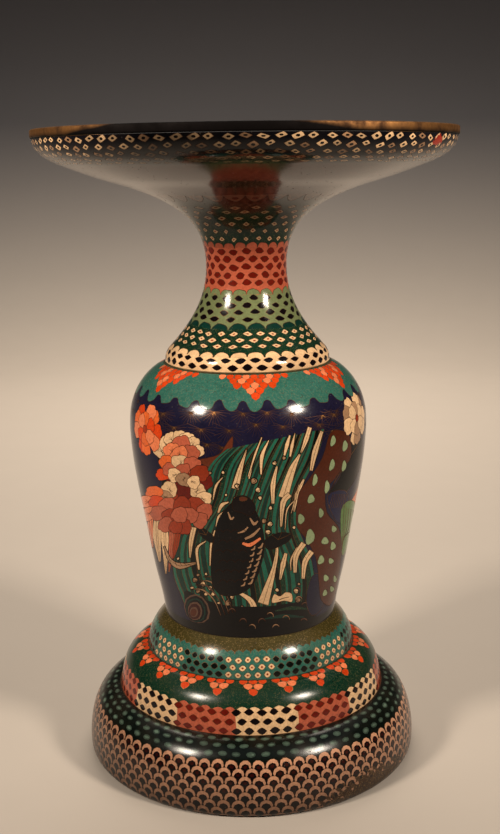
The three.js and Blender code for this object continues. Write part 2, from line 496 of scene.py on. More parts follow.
def enamelSkin(name, skin, bands, seed, enamel, wire):
    # all the bands of one piece, as one mesh with its colours and its map
    parts = [cutBand(skin, band, seed + i) for i, band in enumerate(bands)]
    starts = np.cumsum([0] + [len(part["co"]) for part in parts[:-1]])
    points = np.concatenate([part["co"] for part in parts])
    triangles = np.concatenate([part["triangles"] + start for part, start in zip(parts, starts)])
    angle = np.concatenate([part["angle"] for part in parts])
    run = np.concatenate([part["run"] for part in parts])
    mesh = bpy.data.meshes.new(name)
    mesh.materials.append(enamel)
    mesh.materials.append(wire)
    mesh.vertices.add(len(points))
    mesh.vertices.foreach_set("co", points.ravel())
    mesh.loops.add(triangles.size)
    mesh.loops.foreach_set("vertex_index", triangles.ravel().astype(np.int32))
    mesh.polygons.add(len(triangles))
    mesh.polygons.foreach_set("loop_start", np.arange(0, triangles.size, 3, dtype=np.int32))
    mesh.polygons.foreach_set("material_index", np.concatenate([p["kinds"] for p in parts]).astype(np.int32))
    mesh.update(calc_edges=True)
    chart = mesh.uv_layers.new(name="OFBake")
    corner = triangles.ravel()
    sheet = np.stack([angle[corner] / (2 * math.pi) + 0.5, run[corner] / skin["length"] * mapShare], axis=1)
    chart.data.foreach_set("uv", sheet.ravel().astype(np.float32))
    glaze = mesh.attributes.new("glaze", "FLOAT_COLOR", "CORNER")
    colours = np.concatenate([part["colours"] for part in parts])
    rgba = np.concatenate([colours, np.ones((len(colours), 1))], axis=1)
    glaze.data.foreach_set("color", np.repeat(rgba, 3, axis=0).ravel().astype(np.float32))
    flecks = mesh.attributes.new("flecks", "FLOAT", "CORNER")
    shares = np.concatenate([part["flecks"] for part in parts])
    flecks.data.foreach_set("value", np.repeat(shares, 3).astype(np.float32))
    piece = bpy.data.objects.new(name, mesh)
    bpy.context.collection.objects.link(piece)
    return piece


def onlyThis(*pieces):
    bpy.ops.object.select_all(action="DESELECT")
    for piece in pieces:
        piece.select_set(True)
    bpy.context.view_layer.objects.active = pieces[0]


def spunLining(name, points, material):
    # the hidden side of the wall: its section is drawn as a line of edges and spun round the axis
    line = []
    for run in atCorners(points):
        line += [tuple(p) for p in smoothed(run, liningStep)[:-1]]
    line.append(points[-1])
    mesh = bpy.data.meshes.new(name)
    mesh.materials.append(material)
    mesh.from_pydata([(r * mm, 0, z * mm) for r, z in line], [(i, i + 1) for i in range(len(line) - 1)], [])
    walk = np.concatenate([[0], np.cumsum(np.hypot(*np.diff(np.array(line), axis=0).T))])
    along = mesh.attributes.new("along", "FLOAT", "POINT")
    along.data.foreach_set("value", (walk / walk[-1]).astype(np.float32))
    piece = bpy.data.objects.new(name, mesh)
    bpy.context.collection.objects.link(piece)
    onlyThis(piece)
    bpy.ops.object.mode_set(mode="EDIT")
    bpy.ops.mesh.select_all(action="SELECT")
    bpy.ops.mesh.spin(steps=ringSteps, angle=2 * math.pi, center=(0, 0, 0), axis=(0, 0, 1))
    bpy.ops.mesh.select_all(action="SELECT")
    bpy.ops.mesh.remove_doubles(threshold=0.005 * mm)
    bpy.ops.object.mode_set(mode="OBJECT")
    face = piece.data.polygons[0]
    i, j = [k for k in face.vertices if k < len(line)][:2]
    i, j = min(i, j), max(i, j)
    outward = Vector((line[j][1] - line[i][1], 0, line[i][0] - line[j][0]))
    spoke = Vector((face.center.x, face.center.y, 0)).normalized()
    if face.normal.dot(spoke * outward.x + Vector((0, 0, outward.z))) < 0:
        piece.data.flip_normals()
    chart = piece.data.uv_layers.new(name="OFBake")
    along = piece.data.attributes["along"]
    for face in piece.data.polygons:
        middle = math.atan2(face.center.x, -face.center.y)
        for corner in face.loop_indices:
            vertex = piece.data.loops[corner].vertex_index
            co = piece.data.vertices[vertex].co
            angle = math.atan2(co.x, -co.y)
            angle += 2 * math.pi * round((middle - angle) / (2 * math.pi))
            height = mapShare + mapGap + along.data[vertex].value * (1 - mapGap - mapShare)
            chart.data[corner].uv = (angle / (2 * math.pi) + 0.5, height)
    return piece


def closeShell(outside, lining, skin):
    # the two sides meet on the same ring points and are merged into one closed wall
    liningFaces = len(lining.data.polygons)
    onlyThis(outside, lining)
    bpy.ops.object.join()
    mesh = outside.data
    outsideFaces = len(mesh.polygons) - liningFaces
    side = mesh.attributes.new("side", "INT", "FACE")
    side.data.foreach_set("value", [0] * outsideFaces + [1] * liningFaces)
    bpy.ops.object.mode_set(mode="EDIT")
    bpy.ops.mesh.select_all(action="SELECT")
    bpy.ops.mesh.remove_doubles(threshold=0.02 * mm)
    bpy.ops.object.mode_set(mode="OBJECT")
    bpy.ops.object.shade_smooth_by_angle(angle=math.radians(cornerAngle))
    count = len(mesh.loops)
    normals = np.empty(count * 3, np.float32)
    mesh.corner_normals.foreach_get("vector", normals)
    normals = normals.reshape(-1, 3)
    sheet = np.empty(count * 2, np.float32)
    mesh.uv_layers["OFBake"].data.foreach_get("uv", sheet)
    sheet = sheet.reshape(-1, 2)
    sides = np.empty(len(mesh.polygons), np.int32)
    mesh.attributes["side"].data.foreach_get("value", sides)
    totals = np.empty(len(mesh.polygons), np.int32)
    mesh.polygons.foreach_get("loop_total", totals)
    cornerSide = np.repeat(sides, totals)
    faceOf = np.repeat(np.arange(len(totals)), totals)
    run = sheet[:, 1] / mapShare * skin["length"]
    middle = (np.bincount(faceOf, run) / totals)[faceOf]
    inward = run + np.sign(middle - run) * np.minimum(0.01, abs(middle - run))
    turned = skinNormal(skin, (sheet[:, 0] - 0.5) * 2 * math.pi, inward)
    normals[cornerSide == 0] = turned[cornerSide == 0]
    normals /= np.maximum(np.linalg.norm(normals, axis=1), 1e-9)[:, None]
    mesh.normals_split_custom_set([tuple(n) for n in normals])
    mesh.attributes.remove(mesh.attributes["side"])
    mesh.attributes.remove(mesh.attributes["along"])
    return outside


# materials
glazeSet = {
    "grainScale": 620.0,    # noise scales, for object coordinates in metres
    "cloudScale": 46.0,
    "speckScale": 1300.0,
    "pitScale": 300.0,
    "pitSize": 0.13,
    "pitColour": (0.02, 0.012, 0.008, 1),
    "fleckSize": 0.34,
    "fleckColour": (0.20, 0.13, 0.05, 1),
    "sootColour": (0.030, 0.018, 0.010, 1),
    "bend": 1.37,           # index of refraction, low because the real glaze is worn
}
metalSet = {
    "patchScale": 55.0,
    "roughest": 0.62,
    "wireGrain": 900.0,
    "wireMetal": 0.85,
    "rimGrain": 420.0,
    "rimMetal": 0.9,
}


def newGroup(name, inputs, outputs):
    tree = bpy.data.node_groups.new(name, "ShaderNodeTree")
    for label, kind in inputs:
        tree.interface.new_socket(label, in_out="INPUT", socket_type=kind)
    for label, kind in outputs:
        tree.interface.new_socket(label, in_out="OUTPUT", socket_type=kind)
    return tree, tree.nodes.new("NodeGroupInput"), tree.nodes.new("NodeGroupOutput")


def addNode(tree, kind, values=(), **settings):
    node = tree.nodes.new(kind)
    for key, value in settings.items():
        setattr(node, key, value)
    for socket, value in dict(values).items():
        node.inputs[socket].default_value = value
    return node


def join(tree, *pairs):
    for output, socket in pairs:
        tree.links.new(output, socket)


def mathNode(tree, operation, first, second, clamp=False):
    node = addNode(tree, "ShaderNodeMath", operation=operation, use_clamp=clamp)
    for socket, value in zip(node.inputs, (first, second)):
        if isinstance(value, (int, float)):
            socket.default_value = value
        else:
            tree.links.new(value, socket)
    return node.outputs[0]


def mixColour(tree, share, first, second):
    node = addNode(tree, "ShaderNodeMix", data_type="RGBA")
    for socket, value in ((node.inputs[0], share), (node.inputs[6], first), (node.inputs[7], second)):
        if isinstance(value, (int, float, tuple)):
            socket.default_value = value
        else:
            tree.links.new(value, socket)
    return node.outputs[2]


def firedGlazeGroup():
    # ground enamel: cloudy tone, grains, gold flecks where asked for, and small fired pits
    tree, given, result = newGroup(
        "firedGlaze",
        [("Colour", "NodeSocketColor"), ("Flecks", "NodeSocketFloat"), ("Mottling", "NodeSocketFloat"),
         ("Soot", "NodeSocketFloat")],
        [("Colour", "NodeSocketColor"), ("Roughness", "NodeSocketFloat"), ("Height", "NodeSocketFloat")])
    place = addNode(tree, "ShaderNodeTexCoord").outputs["Object"]
    grain = addNode(tree, "ShaderNodeTexNoise",
                    {"Scale": glazeSet["grainScale"], "Detail": 3.0, "Roughness": 0.62})
    cloud = addNode(tree, "ShaderNodeTexNoise", {"Scale": glazeSet["cloudScale"], "Detail": 2.0})
    speck = addNode(tree, "ShaderNodeTexVoronoi", {"Scale": glazeSet["speckScale"], "Randomness": 1.0})
    pits = addNode(tree, "ShaderNodeTexVoronoi", {"Scale": glazeSet["pitScale"], "Randomness": 1.0})
    for node in (grain, cloud, speck, pits):
        tree.links.new(place, node.inputs["Vector"])
    grains = mathNode(tree, "SUBTRACT", grain.outputs["Fac"], 0.5)
    clouds = mathNode(tree, "SUBTRACT", cloud.outputs["Fac"], 0.5)
    tone = mathNode(tree, "ADD", mathNode(tree, "MULTIPLY", grains, 1.5), clouds)
    value = mathNode(tree, "ADD", mathNode(tree, "MULTIPLY", tone, given.outputs["Mottling"]), 1.0)
    shade = addNode(tree, "ShaderNodeHueSaturation")
    join(tree, (given.outputs["Colour"], shade.inputs["Color"]), (value, shade.inputs["Value"]))
    colour = shade.outputs["Color"]
    pit = mathNode(tree, "LESS_THAN", pits.outputs["Distance"], glazeSet["pitSize"])
    someCells = mathNode(tree, "GREATER_THAN", cloud.outputs["Fac"], 0.52)
    pit = mathNode(tree, "MULTIPLY", pit, someCells)
    colour = mixColour(tree, mathNode(tree, "MULTIPLY", pit, 0.55), colour, glazeSet["pitColour"])
    fleckSize = mathNode(tree, "LESS_THAN", speck.outputs["Distance"], glazeSet["fleckSize"])
    dense = mathNode(tree, "GREATER_THAN", grain.outputs["Fac"], 0.5)
    fleck = mathNode(tree, "MULTIPLY", mathNode(tree, "MULTIPLY", fleckSize, dense), given.outputs["Flecks"])
    colour = mixColour(tree, mathNode(tree, "MULTIPLY", fleck, 0.75), colour, glazeSet["fleckColour"])
    sootAndShade = mathNode(tree, "SUBTRACT", cloud.outputs["Fac"], 0.42)
    sootAndShade = mathNode(tree, "MULTIPLY", sootAndShade, 2.4, clamp=True)
    sootAndShade = mathNode(tree, "MULTIPLY", sootAndShade, given.outputs["Soot"])
    colour = mixColour(tree, sootAndShade, colour, glazeSet["sootColour"])
    rough = mathNode(tree, "ADD", mathNode(tree, "MULTIPLY", cloud.outputs["Fac"], 0.16),
                     mathNode(tree, "MULTIPLY", pit, 0.4))
    rough = mathNode(tree, "ADD", rough, mathNode(tree, "MULTIPLY", grain.outputs["Fac"], 0.10))
    height = mathNode(tree, "SUBTRACT", mathNode(tree, "MULTIPLY", grain.outputs["Fac"], 0.5), pit)
    join(tree, (colour, result.inputs["Colour"]), (rough, result.inputs["Roughness"]),
         (height, result.inputs["Height"]))
    return tree


def agedMetalGroup():
    # brass gone brown in patches, brighter where hands have rubbed it
    tree, given, result = newGroup(
        "agedMetal",
        [("Bright", "NodeSocketColor"), ("Dull", "NodeSocketColor"), ("Grain Size", "NodeSocketFloat")],
        [("Colour", "NodeSocketColor"), ("Roughness", "NodeSocketFloat"), ("Height", "NodeSocketFloat")])
    place = addNode(tree, "ShaderNodeTexCoord").outputs["Object"]
    patch = addNode(tree, "ShaderNodeTexNoise",
                    {"Scale": metalSet["patchScale"], "Detail": 4.0, "Roughness": 0.6})
    scratch = addNode(tree, "ShaderNodeTexNoise", {"Detail": 2.0})
    join(tree, (place, patch.inputs["Vector"]), (place, scratch.inputs["Vector"]),
         (given.outputs["Grain Size"], scratch.inputs["Scale"]))
    share = mathNode(tree, "SUBTRACT", patch.outputs["Fac"], 0.38)
    share = mathNode(tree, "MULTIPLY", share, 3.6, clamp=True)
    colour = mixColour(tree, share, given.outputs["Dull"], given.outputs["Bright"])
    rough = mathNode(tree, "SUBTRACT", metalSet["roughest"], mathNode(tree, "MULTIPLY", share, 0.26))
    rough = mathNode(tree, "ADD", rough, mathNode(tree, "MULTIPLY", scratch.outputs["Fac"], 0.1))
    join(tree, (colour, result.inputs["Colour"]), (rough, result.inputs["Roughness"]),
         (scratch.outputs["Fac"], result.inputs["Height"]))
    return tree


firedGlaze = firedGlazeGroup()
agedMetal = agedMetalGroup()


def newMaterial(name):
    material = bpy.data.materials.new(name)
    material.use_nodes = True
    tree = material.node_tree
    return material, tree, tree.nodes["Principled BSDF"]


def addBump(tree, height, shader, strength, distance):
    bump = addNode(tree, "ShaderNodeBump", {"Strength": strength, "Distance": distance * mm})
    join(tree, (height, bump.inputs["Height"]), (bump.outputs["Normal"], shader.inputs["Normal"]))


def enamelMaterial(name, mottling, sootAndShade, shine):
    material, tree, shader = newMaterial(name)
    paint = addNode(tree, "ShaderNodeAttribute", attribute_name="glaze")
    gold = addNode(tree, "ShaderNodeAttribute", attribute_name="flecks")
    glaze = addNode(tree, "ShaderNodeGroup", node_tree=firedGlaze)
    glaze.inputs["Mottling"].default_value = mottling
    glaze.inputs["Soot"].default_value = sootAndShade
    join(tree, (paint.outputs["Color"], glaze.inputs["Colour"]),
         (gold.outputs["Fac"], glaze.inputs["Flecks"]),
         (glaze.outputs["Colour"], shader.inputs["Base Color"]))
    rough = mathNode(tree, "ADD", glaze.outputs["Roughness"], shine)
    tree.links.new(rough, shader.inputs["Roughness"])
    shader.inputs["IOR"].default_value = glazeSet["bend"]
    addBump(tree, glaze.outputs["Height"], shader, 0.35, 0.05)
    return material


def liningMaterial(name, colour):
    # counter-enamel or bare underside, plain but cloudy
    material, tree, shader = newMaterial(name)
    glaze = addNode(tree, "ShaderNodeGroup", node_tree=firedGlaze)
    glaze.inputs["Colour"].default_value = (*linear(glazes[colour]), 1)
    glaze.inputs["Mottling"].default_value = 0.7
    glaze.inputs["Soot"].default_value = 0.5
    join(tree, (glaze.outputs["Colour"], shader.inputs["Base Color"]))
    rough = mathNode(tree, "ADD", glaze.outputs["Roughness"], 0.22)
    tree.links.new(rough, shader.inputs["Roughness"])
    addBump(tree, glaze.outputs["Height"], shader, 0.5, 0.08)
    return material


def wireMaterial(name):
    material, tree, shader = newMaterial(name)
    paint = addNode(tree, "ShaderNodeAttribute", attribute_name="glaze")
    metal = addNode(tree, "ShaderNodeGroup", node_tree=agedMetal)
    metal.inputs["Dull"].default_value = (*linear(wirePaints["darkWire"]), 1)
    metal.inputs["Grain Size"].default_value = metalSet["wireGrain"]
    join(tree, (paint.outputs["Color"], metal.inputs["Bright"]),
         (metal.outputs["Colour"], shader.inputs["Base Color"]),
         (metal.outputs["Roughness"], shader.inputs["Roughness"]))
    shader.inputs["Metallic"].default_value = metalSet["wireMetal"]
    addBump(tree, metal.outputs["Height"], shader, 0.3, 0.03)
    return material


def rimMaterial(name, values):
    # brass darkened by painted shade on its lower part, deepest left of the front
    material, tree, shader = newMaterial(name)
    metal = addNode(tree, "ShaderNodeGroup", node_tree=agedMetal)
    metal.inputs["Bright"].default_value = (*linear(values["bright"]), 1)
    metal.inputs["Dull"].default_value = (*linear(values["dull"]), 1)
    metal.inputs["Grain Size"].default_value = metalSet["rimGrain"]
    place = addNode(tree, "ShaderNodeTexCoord").outputs["Object"]
    split = addNode(tree, "ShaderNodeSeparateXYZ")
    ragged = addNode(tree, "ShaderNodeTexNoise", {"Scale": 90.0, "Detail": 3.0})
    front = addNode(tree, "ShaderNodeVectorMath", {1: values["shadeMiddle"]}, operation="DISTANCE")
    join(tree, (place, split.inputs[0]), (place, ragged.inputs["Vector"]), (place, front.inputs[0]))
    away = mathNode(tree, "DIVIDE", front.outputs["Value"], values["shadeReach"] * mm)
    near = mathNode(tree, "SUBTRACT", 1.0, away, clamp=True)
    rise = mathNode(tree, "MULTIPLY", near, values["shadeRise"] * mm)
    edge = mathNode(tree, "ADD", values["shadeTop"] * mm, rise)
    edge = mathNode(tree, "ADD", edge, mathNode(tree, "MULTIPLY", ragged.outputs["Fac"], 0.0012))
    # painted shade: the brass goes dark below a ragged edge that rises near the front
    sootAndShade = mathNode(tree, "MULTIPLY", mathNode(tree, "SUBTRACT", edge, split.outputs["Z"]), 350.0, clamp=True)
    colour = mixColour(tree, sootAndShade, metal.outputs["Colour"], (*linear(values["sootAndShade"]), 1))
    rough = mathNode(tree, "ADD", metal.outputs["Roughness"], mathNode(tree, "MULTIPLY", sootAndShade, 0.12))
    join(tree, (colour, shader.inputs["Base Color"]), (rough, shader.inputs["Roughness"]))
    shader.inputs["Metallic"].default_value = metalSet["rimMetal"]
    addBump(tree, metal.outputs["Height"], shader, 0.4, 0.08)
    return material


def dress(piece, slot, *nodes):
    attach(piece, "root")
    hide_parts(*nodes)
    print(f"{piece.name}: {len(piece.data.polygons)} faces")


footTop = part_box("foot")[1].z / mm
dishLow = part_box("dish")[0].z / mm
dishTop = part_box("dish")[1].z / mm

# foot
footSet = {
    "brassEdge": 2.6,       # thin metal edge on the table
    "fishScales": 44.0,     # top of the scale rows, measured up the skin
    "scaleRows": 7,
    "scalePitch": 5.3,
    "lowestScale": -3.9,    # foot of the lowest row, from the top of the brass edge
    "scaleHigh": 8.4,
    "dotsFrom": 4,          # red dots show in the rows from this one up
    "panelsRound": 14,
    "cellsInPanel": 5,
    "creamPanelFrom": -6.3,  # degrees to the right of the front
    "ringPanelFrom": -12.4,
    "scaleTiles": 40,
    "scalesInTile": 2,
    "panelsTop": 82.4,
    "tealTop": 121.8,
    "trianglesRound": 22,
    "triangleFrom": 1.0,
    "wornAngle": 44,        # degrees to the right of the front
    "unevenness": ((0, 0.0), (2.6, 0.0), (8, 1.0), (140, 1.0)),  # along the skin
}
footOut, footIn = splitLoop("foot", 0, footTop)
footSkin = makeSkin(footOut)
footSkin["unevenness"] = footSet["unevenness"]


def fishScales(width, height):
    # rows of round scales, each lapping over the row above it
    wide = width / footSet["scalesInTile"]
    shapes = []
    for row in range(footSet["scaleRows"], -1, -1):
        foot = row * footSet["scalePitch"] + footSet["lowestScale"]
        for i in range(footSet["scalesInTile"]):
            x = wide * (i + (0.5 if row % 2 else 0.0))
            shapes += [(arch(x, foot, wide * 1.02, 7.2, 5), "softBlack")]
            shapes += cell(oval(x, foot + 3.6, wide * 0.96, footSet["scaleHigh"], 10), ("dimWire", 0),
                           ("pinkCream", 0.24))
            shapes += [(oval(x, foot + 2.0, wide * 0.68, 6.4, 8), "softBlack")]
            if row >= footSet["dotsFrom"]:
                shapes += [(oval(x, foot + 3.0, wide * 0.3, 2.4, 6), "oxblood")]
    return shapes


def scaleShade(angle, s):
    # painted shade: the lower rows are darker, and the left side more than the right
    low = np.interp(s, (2, 42), (0.24, 1.0))
    return low * (1 - 0.4 * np.exp(-((np.degrees(angle) + 70) / 45) ** 2))


def greyOvals(width, height):
    shapes = rowsOf(width, 6, 3.0, 5.8, 3, lambda x, y, step, swell: cell(
        oval(x, y, step * 0.74, 4.6 * swell, 8), ("black", 0), ("greyGreen", 0.36), ("paleGrey", 1.3)), 3)
    return shapes + [(box(-1, height - 0.8, width + 1, height), "dimWire")]


def panels(width, starting):
    # left ends of the panels that go round a tier, starting at an angle to the right of the front
    count = footSet["panelsRound"]
    first = width * (0.5 + starting / 360)
    return [(first + width * i / count, width / count, i % 2 == 0) for i in range(count)]


def panelCells(width, height):
    # cream panels with black lozenges and brick panels with red ones, under a scalloped edge
    shapes = []
    for left, wide, pale in panels(width, footSet["creamPanelFrom"]):
        crest = []
        for i in range(4 * footSet["cellsInPanel"] + 1):
            drop = 0.3 + 2.0 * (1 - abs(math.sin(math.pi * i / 4)))
            crest.append((left + wide * (1 - i / (4 * footSet["cellsInPanel"])), height - drop))
        shapes += [([(left, -1), (left + wide, -1)] + crest, "cream" if pale else "brick")]
    for left, wide, pale in panels(width, footSet["creamPanelFrom"]):
        step = wide / footSet["cellsInPanel"]
        for row in range(3):
            for column in range(footSet["cellsInPanel"]):
                x = left + step * (column + (0.5 if row % 2 else 0.05))
                shapes += cell(lozenge(x, 2.6 + row * 6.3, step * 0.84, 4.9, 0.7),
                               ("wire", 0), ("softBlack" if pale else "darkRed", 0.25))
    return shapes


def hangingTriangles(width, height):
    # small triangles of scale cells hang from the crease, point down
    size, deep = 7.2, 4.5
    shapes = []
    for triangle in range(footSet["trianglesRound"]):
        middle = width * (0.5 + footSet["triangleFrom"] / 360 + triangle / footSet["trianglesRound"])
        for row, count in ((2, 1), (1, 2), (0, 3)):
            for i in range(count):
                x = middle + (i - (count - 1) / 2) * size
                paint = "salmon" if row == 1 else "orange"
                shapes += cell(scaleCell(x, height - 2.9 - row * deep, size, deep + 1), ("goldWire", 0),
                               (paint, 0.22))
    return shapes + [(box(-1, height - 0.8, width + 1, height), "dimWire")]


def tealCells(width, height):
    # panels of creamy rings with a red dot, and panels of black lozenges
    shapes = []
    for left, wide, pale in panels(width, footSet["ringPanelFrom"]):
        step = wide / footSet["cellsInPanel"]
        for row in range(3):
            for column in range(footSet["cellsInPanel"]):
                x = left + step * (column + (0.55 if row % 2 else 0.1))
                y = 3.0 + row * 5.2
                if pale:
                    shapes += cell(lozenge(x, y, step * 0.78, 4.4, 0.8), ("wire", 0), ("cream", 0.3),
                                   ("rust", 1.4))
                else:
                    shapes += cell(lozenge(x, y, step * 0.86, 4.5, 0.78), ("wire", 0), ("blackGreen", 0.25))
    return shapes


def topEdge(width, height):
    # the teal ends in small uneven points on the gold-green shoulder
    peaks = [(0, -1), (width, -1), (width, 1.2), (width * 0.75, 3.0), (width * 0.5, 1.4),
             (width * 0.25, 3.4), (0, 1.2)]
    return cell(peaks, ("wire", 0), ("turquoise", 0.3))


def wornFoot(angle, s):
    # a rubbed patch at the lower right, where the scales have gone down to brown metal
    away = ((np.degrees(angle) - footSet["wornAngle"]) / 21) ** 2 + ((s - 4) / 17) ** 2
    ragged = 0.35 * np.sin(angle * 61) * np.sin(s * 0.9) + 0.25 * np.sin(angle * 117 + s)
    return "wornBrown", away + ragged < 0.9


creaseLow, creaseTop = footSkin["corners"]
footBands = stacked(
    {"to": footSet["brassEdge"], "count": 72, "ground": "edgeBrass"},
    {"to": footSet["fishScales"], "count": footSet["scaleTiles"], "ground": "blackGreen",
     "cells": fishScales, "worn": wornFoot, "dim": scaleShade},
    {"to": creaseLow, "count": 12, "ground": "blackGreen", "cells": greyOvals, "spread": 0.3},
    {"to": footSet["panelsTop"], "count": 1, "ground": "forest", "cells": panelCells},
    {"to": creaseTop, "count": 1, "ground": "forest", "cells": hangingTriangles},
    {"to": footSet["tealTop"], "count": 1, "ground": "turquoise", "cells": tealCells},
    {"to": footSkin["length"], "count": 40, "ground": "goldGreen", "cells": topEdge},
)
footShell = enamelSkin("footShell", footSkin, footBands, 11,
                       enamelMaterial("footEnamel", 0.75, 0.35, 0.07), wireMaterial("footWire"))
closeShell(footShell, spunLining("footLining", footIn, liningMaterial("footUnderside", "brown")), footSkin)
dress(footShell, "foot_enamel", "foot")

# dish, neck and collar
dishSet = {
    "collarTop": 11.6,
    "neckGreenTop": 33.4,
    "sageTop": 58.4,
    "brickTop": 90.3,
    "upperGreenTop": 131.5,
    "petalTop": 145.0,
    "underTop": 204.5,
    "patchAngle": 57,       # degrees to the right of the front
    "patchRun": 228.5,
    "unevenness": ((0, 0.0), (2, 0.0), (8, 1.0), (204, 1.0), (210, 1.6), (240, 1.6)),
}
dishOut, dishIn = splitLoop("dish", dishLow, dishTop)
dishSkin = makeSkin(dishOut)
dishSkin["unevenness"] = dishSet["unevenness"]


def collarCells(width, height):
    return rowsOf(width, 6, 2.9, 4.9, 2, lambda x, y, step, swell: cell(
        lozenge(x, y, step * 0.78, 4.3 * swell, 0.72), ("dimWire", 0), ("softBlack", 0.28)), 1)


def eyeCell(x, y, wide, high, wire, dot):
    # a cream lozenge with a dark red dot
    return cell(lozenge(x, y, wide, high, 0.62), (wire, 0), ("cream", 0.3)) + [
        (oval(x, y, wide * dot, high * dot, 6), "rust")]


def neckGreenCells(width, height):
    shapes = scallops(width, 5, 5.0, "cream")
    return shapes + rowsOf(width, 5, 8.6, 4.9, 3, lambda x, y, step, swell: eyeCell(
        x, y, step * 0.76, 4.1 * swell, "darkWire", 0.3), 2)


def sageCells(width, height):
    shapes = scallops(width, 5, 5.2, "deepTeal", "darkWire")
    return shapes + rowsOf(width, 5, 7.4, 5.0, 4, lambda x, y, step, swell: cell(
        lozenge(x, y, step * 0.66, 4.3 * swell, 0.78), ("dimWire", 0), ("softBlack", 0.26)), 4)


def brickCells(width, height):
    shapes = scallops(width, 5, 4.6, "sage", "darkWire")
    return shapes + rowsOf(width, 5, 7.8, 5.4, 5, lambda x, y, step, swell: cell(
        lozenge(x, y, step * 0.80, 4.8 * swell, 0.8), ("darkWire", 0), ("darkRed", 0.26)), 5)


def upperGreenCells(width, height):
    shapes = scallops(width, 6, 4.6, "brick", "dimWire")
    return shapes + rowsOf(width, 6, 6.4, 5.9, 6, lambda x, y, step, swell: eyeCell(
        x, y, step * (0.5 + 0.004 * y), (3.7 + 0.02 * y) * swell, "dimWire", 0.36), 6)


def upperShade(angle, s):
    # dark where the dish shades the neck, most on the left
    high = np.interp(s, (100, 128), (1.0, 0.45))
    return high * (1 - 0.3 * np.exp(-((np.degrees(angle) + 50) / 40) ** 2))


def petalEdge(width, height):
    # a scalloped dull edge with dark dots, hanging towards the neck
    drop = [(width * i / 10, height - 1.0 - 9.6 * math.sin(math.pi * i / 10) ** 0.7) for i in range(11)]
    shapes = wired([(width, height + 1), (0, height + 1)] + drop, "dimShell", "darkWire")
    return shapes + [(oval(width / 2, height - 5.4, width * 0.34, 4.2, 9), "oxblood")]


def underCells(width, height):
    return rowsOf(width, 5, 5.0, 7.2, 8, lambda x, y, step, swell: [
        (lozenge(x, y, step * 0.62, 5.0 * swell, 0.6), "oxblood")], 7)


def rimCells(width, height):
    # five rows of small cream cells with a black eye, each leaning its own way
    hand = np.random.default_rng(8)
    step = width / 6
    shapes = []
    for row, (y, size) in enumerate(((4.4, 0.6), (9.4, 0.9), (15.2, 1.0), (21.0, 1.05), (26.4, 1.0))):
        for i in range(6):
            x = step * (i + (0.5 if row % 2 else 0.0) + hand.uniform(-0.12, 0.12))
            middle = y + hand.uniform(-0.7, 0.7)
            lean = hand.uniform(-0.6, 0.6)
            wide = step * hand.uniform(0.66, 0.86)
            high = hand.uniform(4.2, 5.4) * size
            straight = lozenge(x, middle, wide, high, 0.6)
            outline = [(px + (py - middle) * lean, py) for px, py in straight]
            shapes += cell(outline, ("dimWire", 0), ("cream" if hand.uniform() < 0.6 else "oldCream", 0.3))
            shapes += [(oval(x, middle, wide * 0.34, high * 0.34, 6), "black")]
    return shapes


def rimShade(angle, s):
    # painted shade and light: the wall is nearly black just left of the front, and brightest at the two sides
    turn = np.degrees(angle)
    return 1.15 - 1.0 * np.exp(-((turn + 16) / 24) ** 2)


def repairPatch(angle, s):
    away = ((np.degrees(angle) - dishSet["patchAngle"]) / 2.7) ** 2 + ((s - dishSet["patchRun"]) / 3.6) ** 2
    return "repairRed", away + 0.4 * np.sin(angle * 211 + s * 1.9) < 0.9


dishBands = stacked(
    {"to": dishSkin["corners"][0], "count": 36, "ground": "cream"},
    {"to": dishSet["collarTop"], "count": 6, "ground": "cream", "cells": collarCells},
    {"to": dishSet["neckGreenTop"], "count": 6, "ground": "forest", "cells": neckGreenCells},
    {"to": dishSet["sageTop"], "count": 4, "ground": "sage", "cells": sageCells},
    {"to": dishSet["brickTop"], "count": 4, "ground": "brick", "cells": brickCells},
    {"to": dishSet["upperGreenTop"], "count": 4, "ground": "forest", "cells": upperGreenCells,
     "dim": upperShade},
    {"to": dishSet["petalTop"], "count": 30, "ground": "blackGreen", "cells": petalEdge},
    {"to": dishSet["underTop"], "count": 8, "ground": "underBrown", "cells": underCells},
    {"to": dishSkin["length"], "count": 15, "ground": "rimBlack", "cells": rimCells,
     "worn": repairPatch, "dim": rimShade, "spread": 0.3},
)
dishShell = enamelSkin("dishShell", dishSkin, dishBands, 47,
                       enamelMaterial("dishEnamel", 0.55, 0.18, 0.0), wireMaterial("dishWire"))
closeShell(dishShell, spunLining("dishLining", dishIn, liningMaterial("dishInside", "teal")), dishSkin)
dress(dishShell, "dish_enamel", "dish")

# jar
jarSet = {
    "plainBase": 7.0,
    "lobes": 30,
    "lobeLow": 167.5,
    "lobeHigh": 174.0,
    "groupAngles": (-54, 4, 60, 121, 183, 244),  # six groups of orange scales, to the right of the front
    "scaleWide": 6.9,
    "scaleDeep": 4.2,
    "curls": 230,
}
jarOut, jarIn = splitLoop("body", footTop, dishLow)
jarSkin = makeSkin(jarOut)
jarSkin["unevenness"] = ((0, 0.0), (200, 0.0))
pictureRadius = np.interp((jarSet["plainBase"] + jarSkin["length"]) / 2, jarSkin["s"], jarSkin["r"])


def smoothClosed(points, per=4):
    # a round closed outline through given points
    p = np.array(points, float)
    before, after, next2 = np.roll(p, 1, 0), np.roll(p, -1, 0), np.roll(p, -2, 0)
    made = []
    for k in range(per):
        u = k / per
        made.append(0.5 * (2 * p + u * (after - before) + u**2 * (2 * before - 5 * p + 4 * after - next2)
                           + u**3 * (3 * p - before - 3 * after + next2)))
    return np.stack(made, 1).reshape(-1, 2)


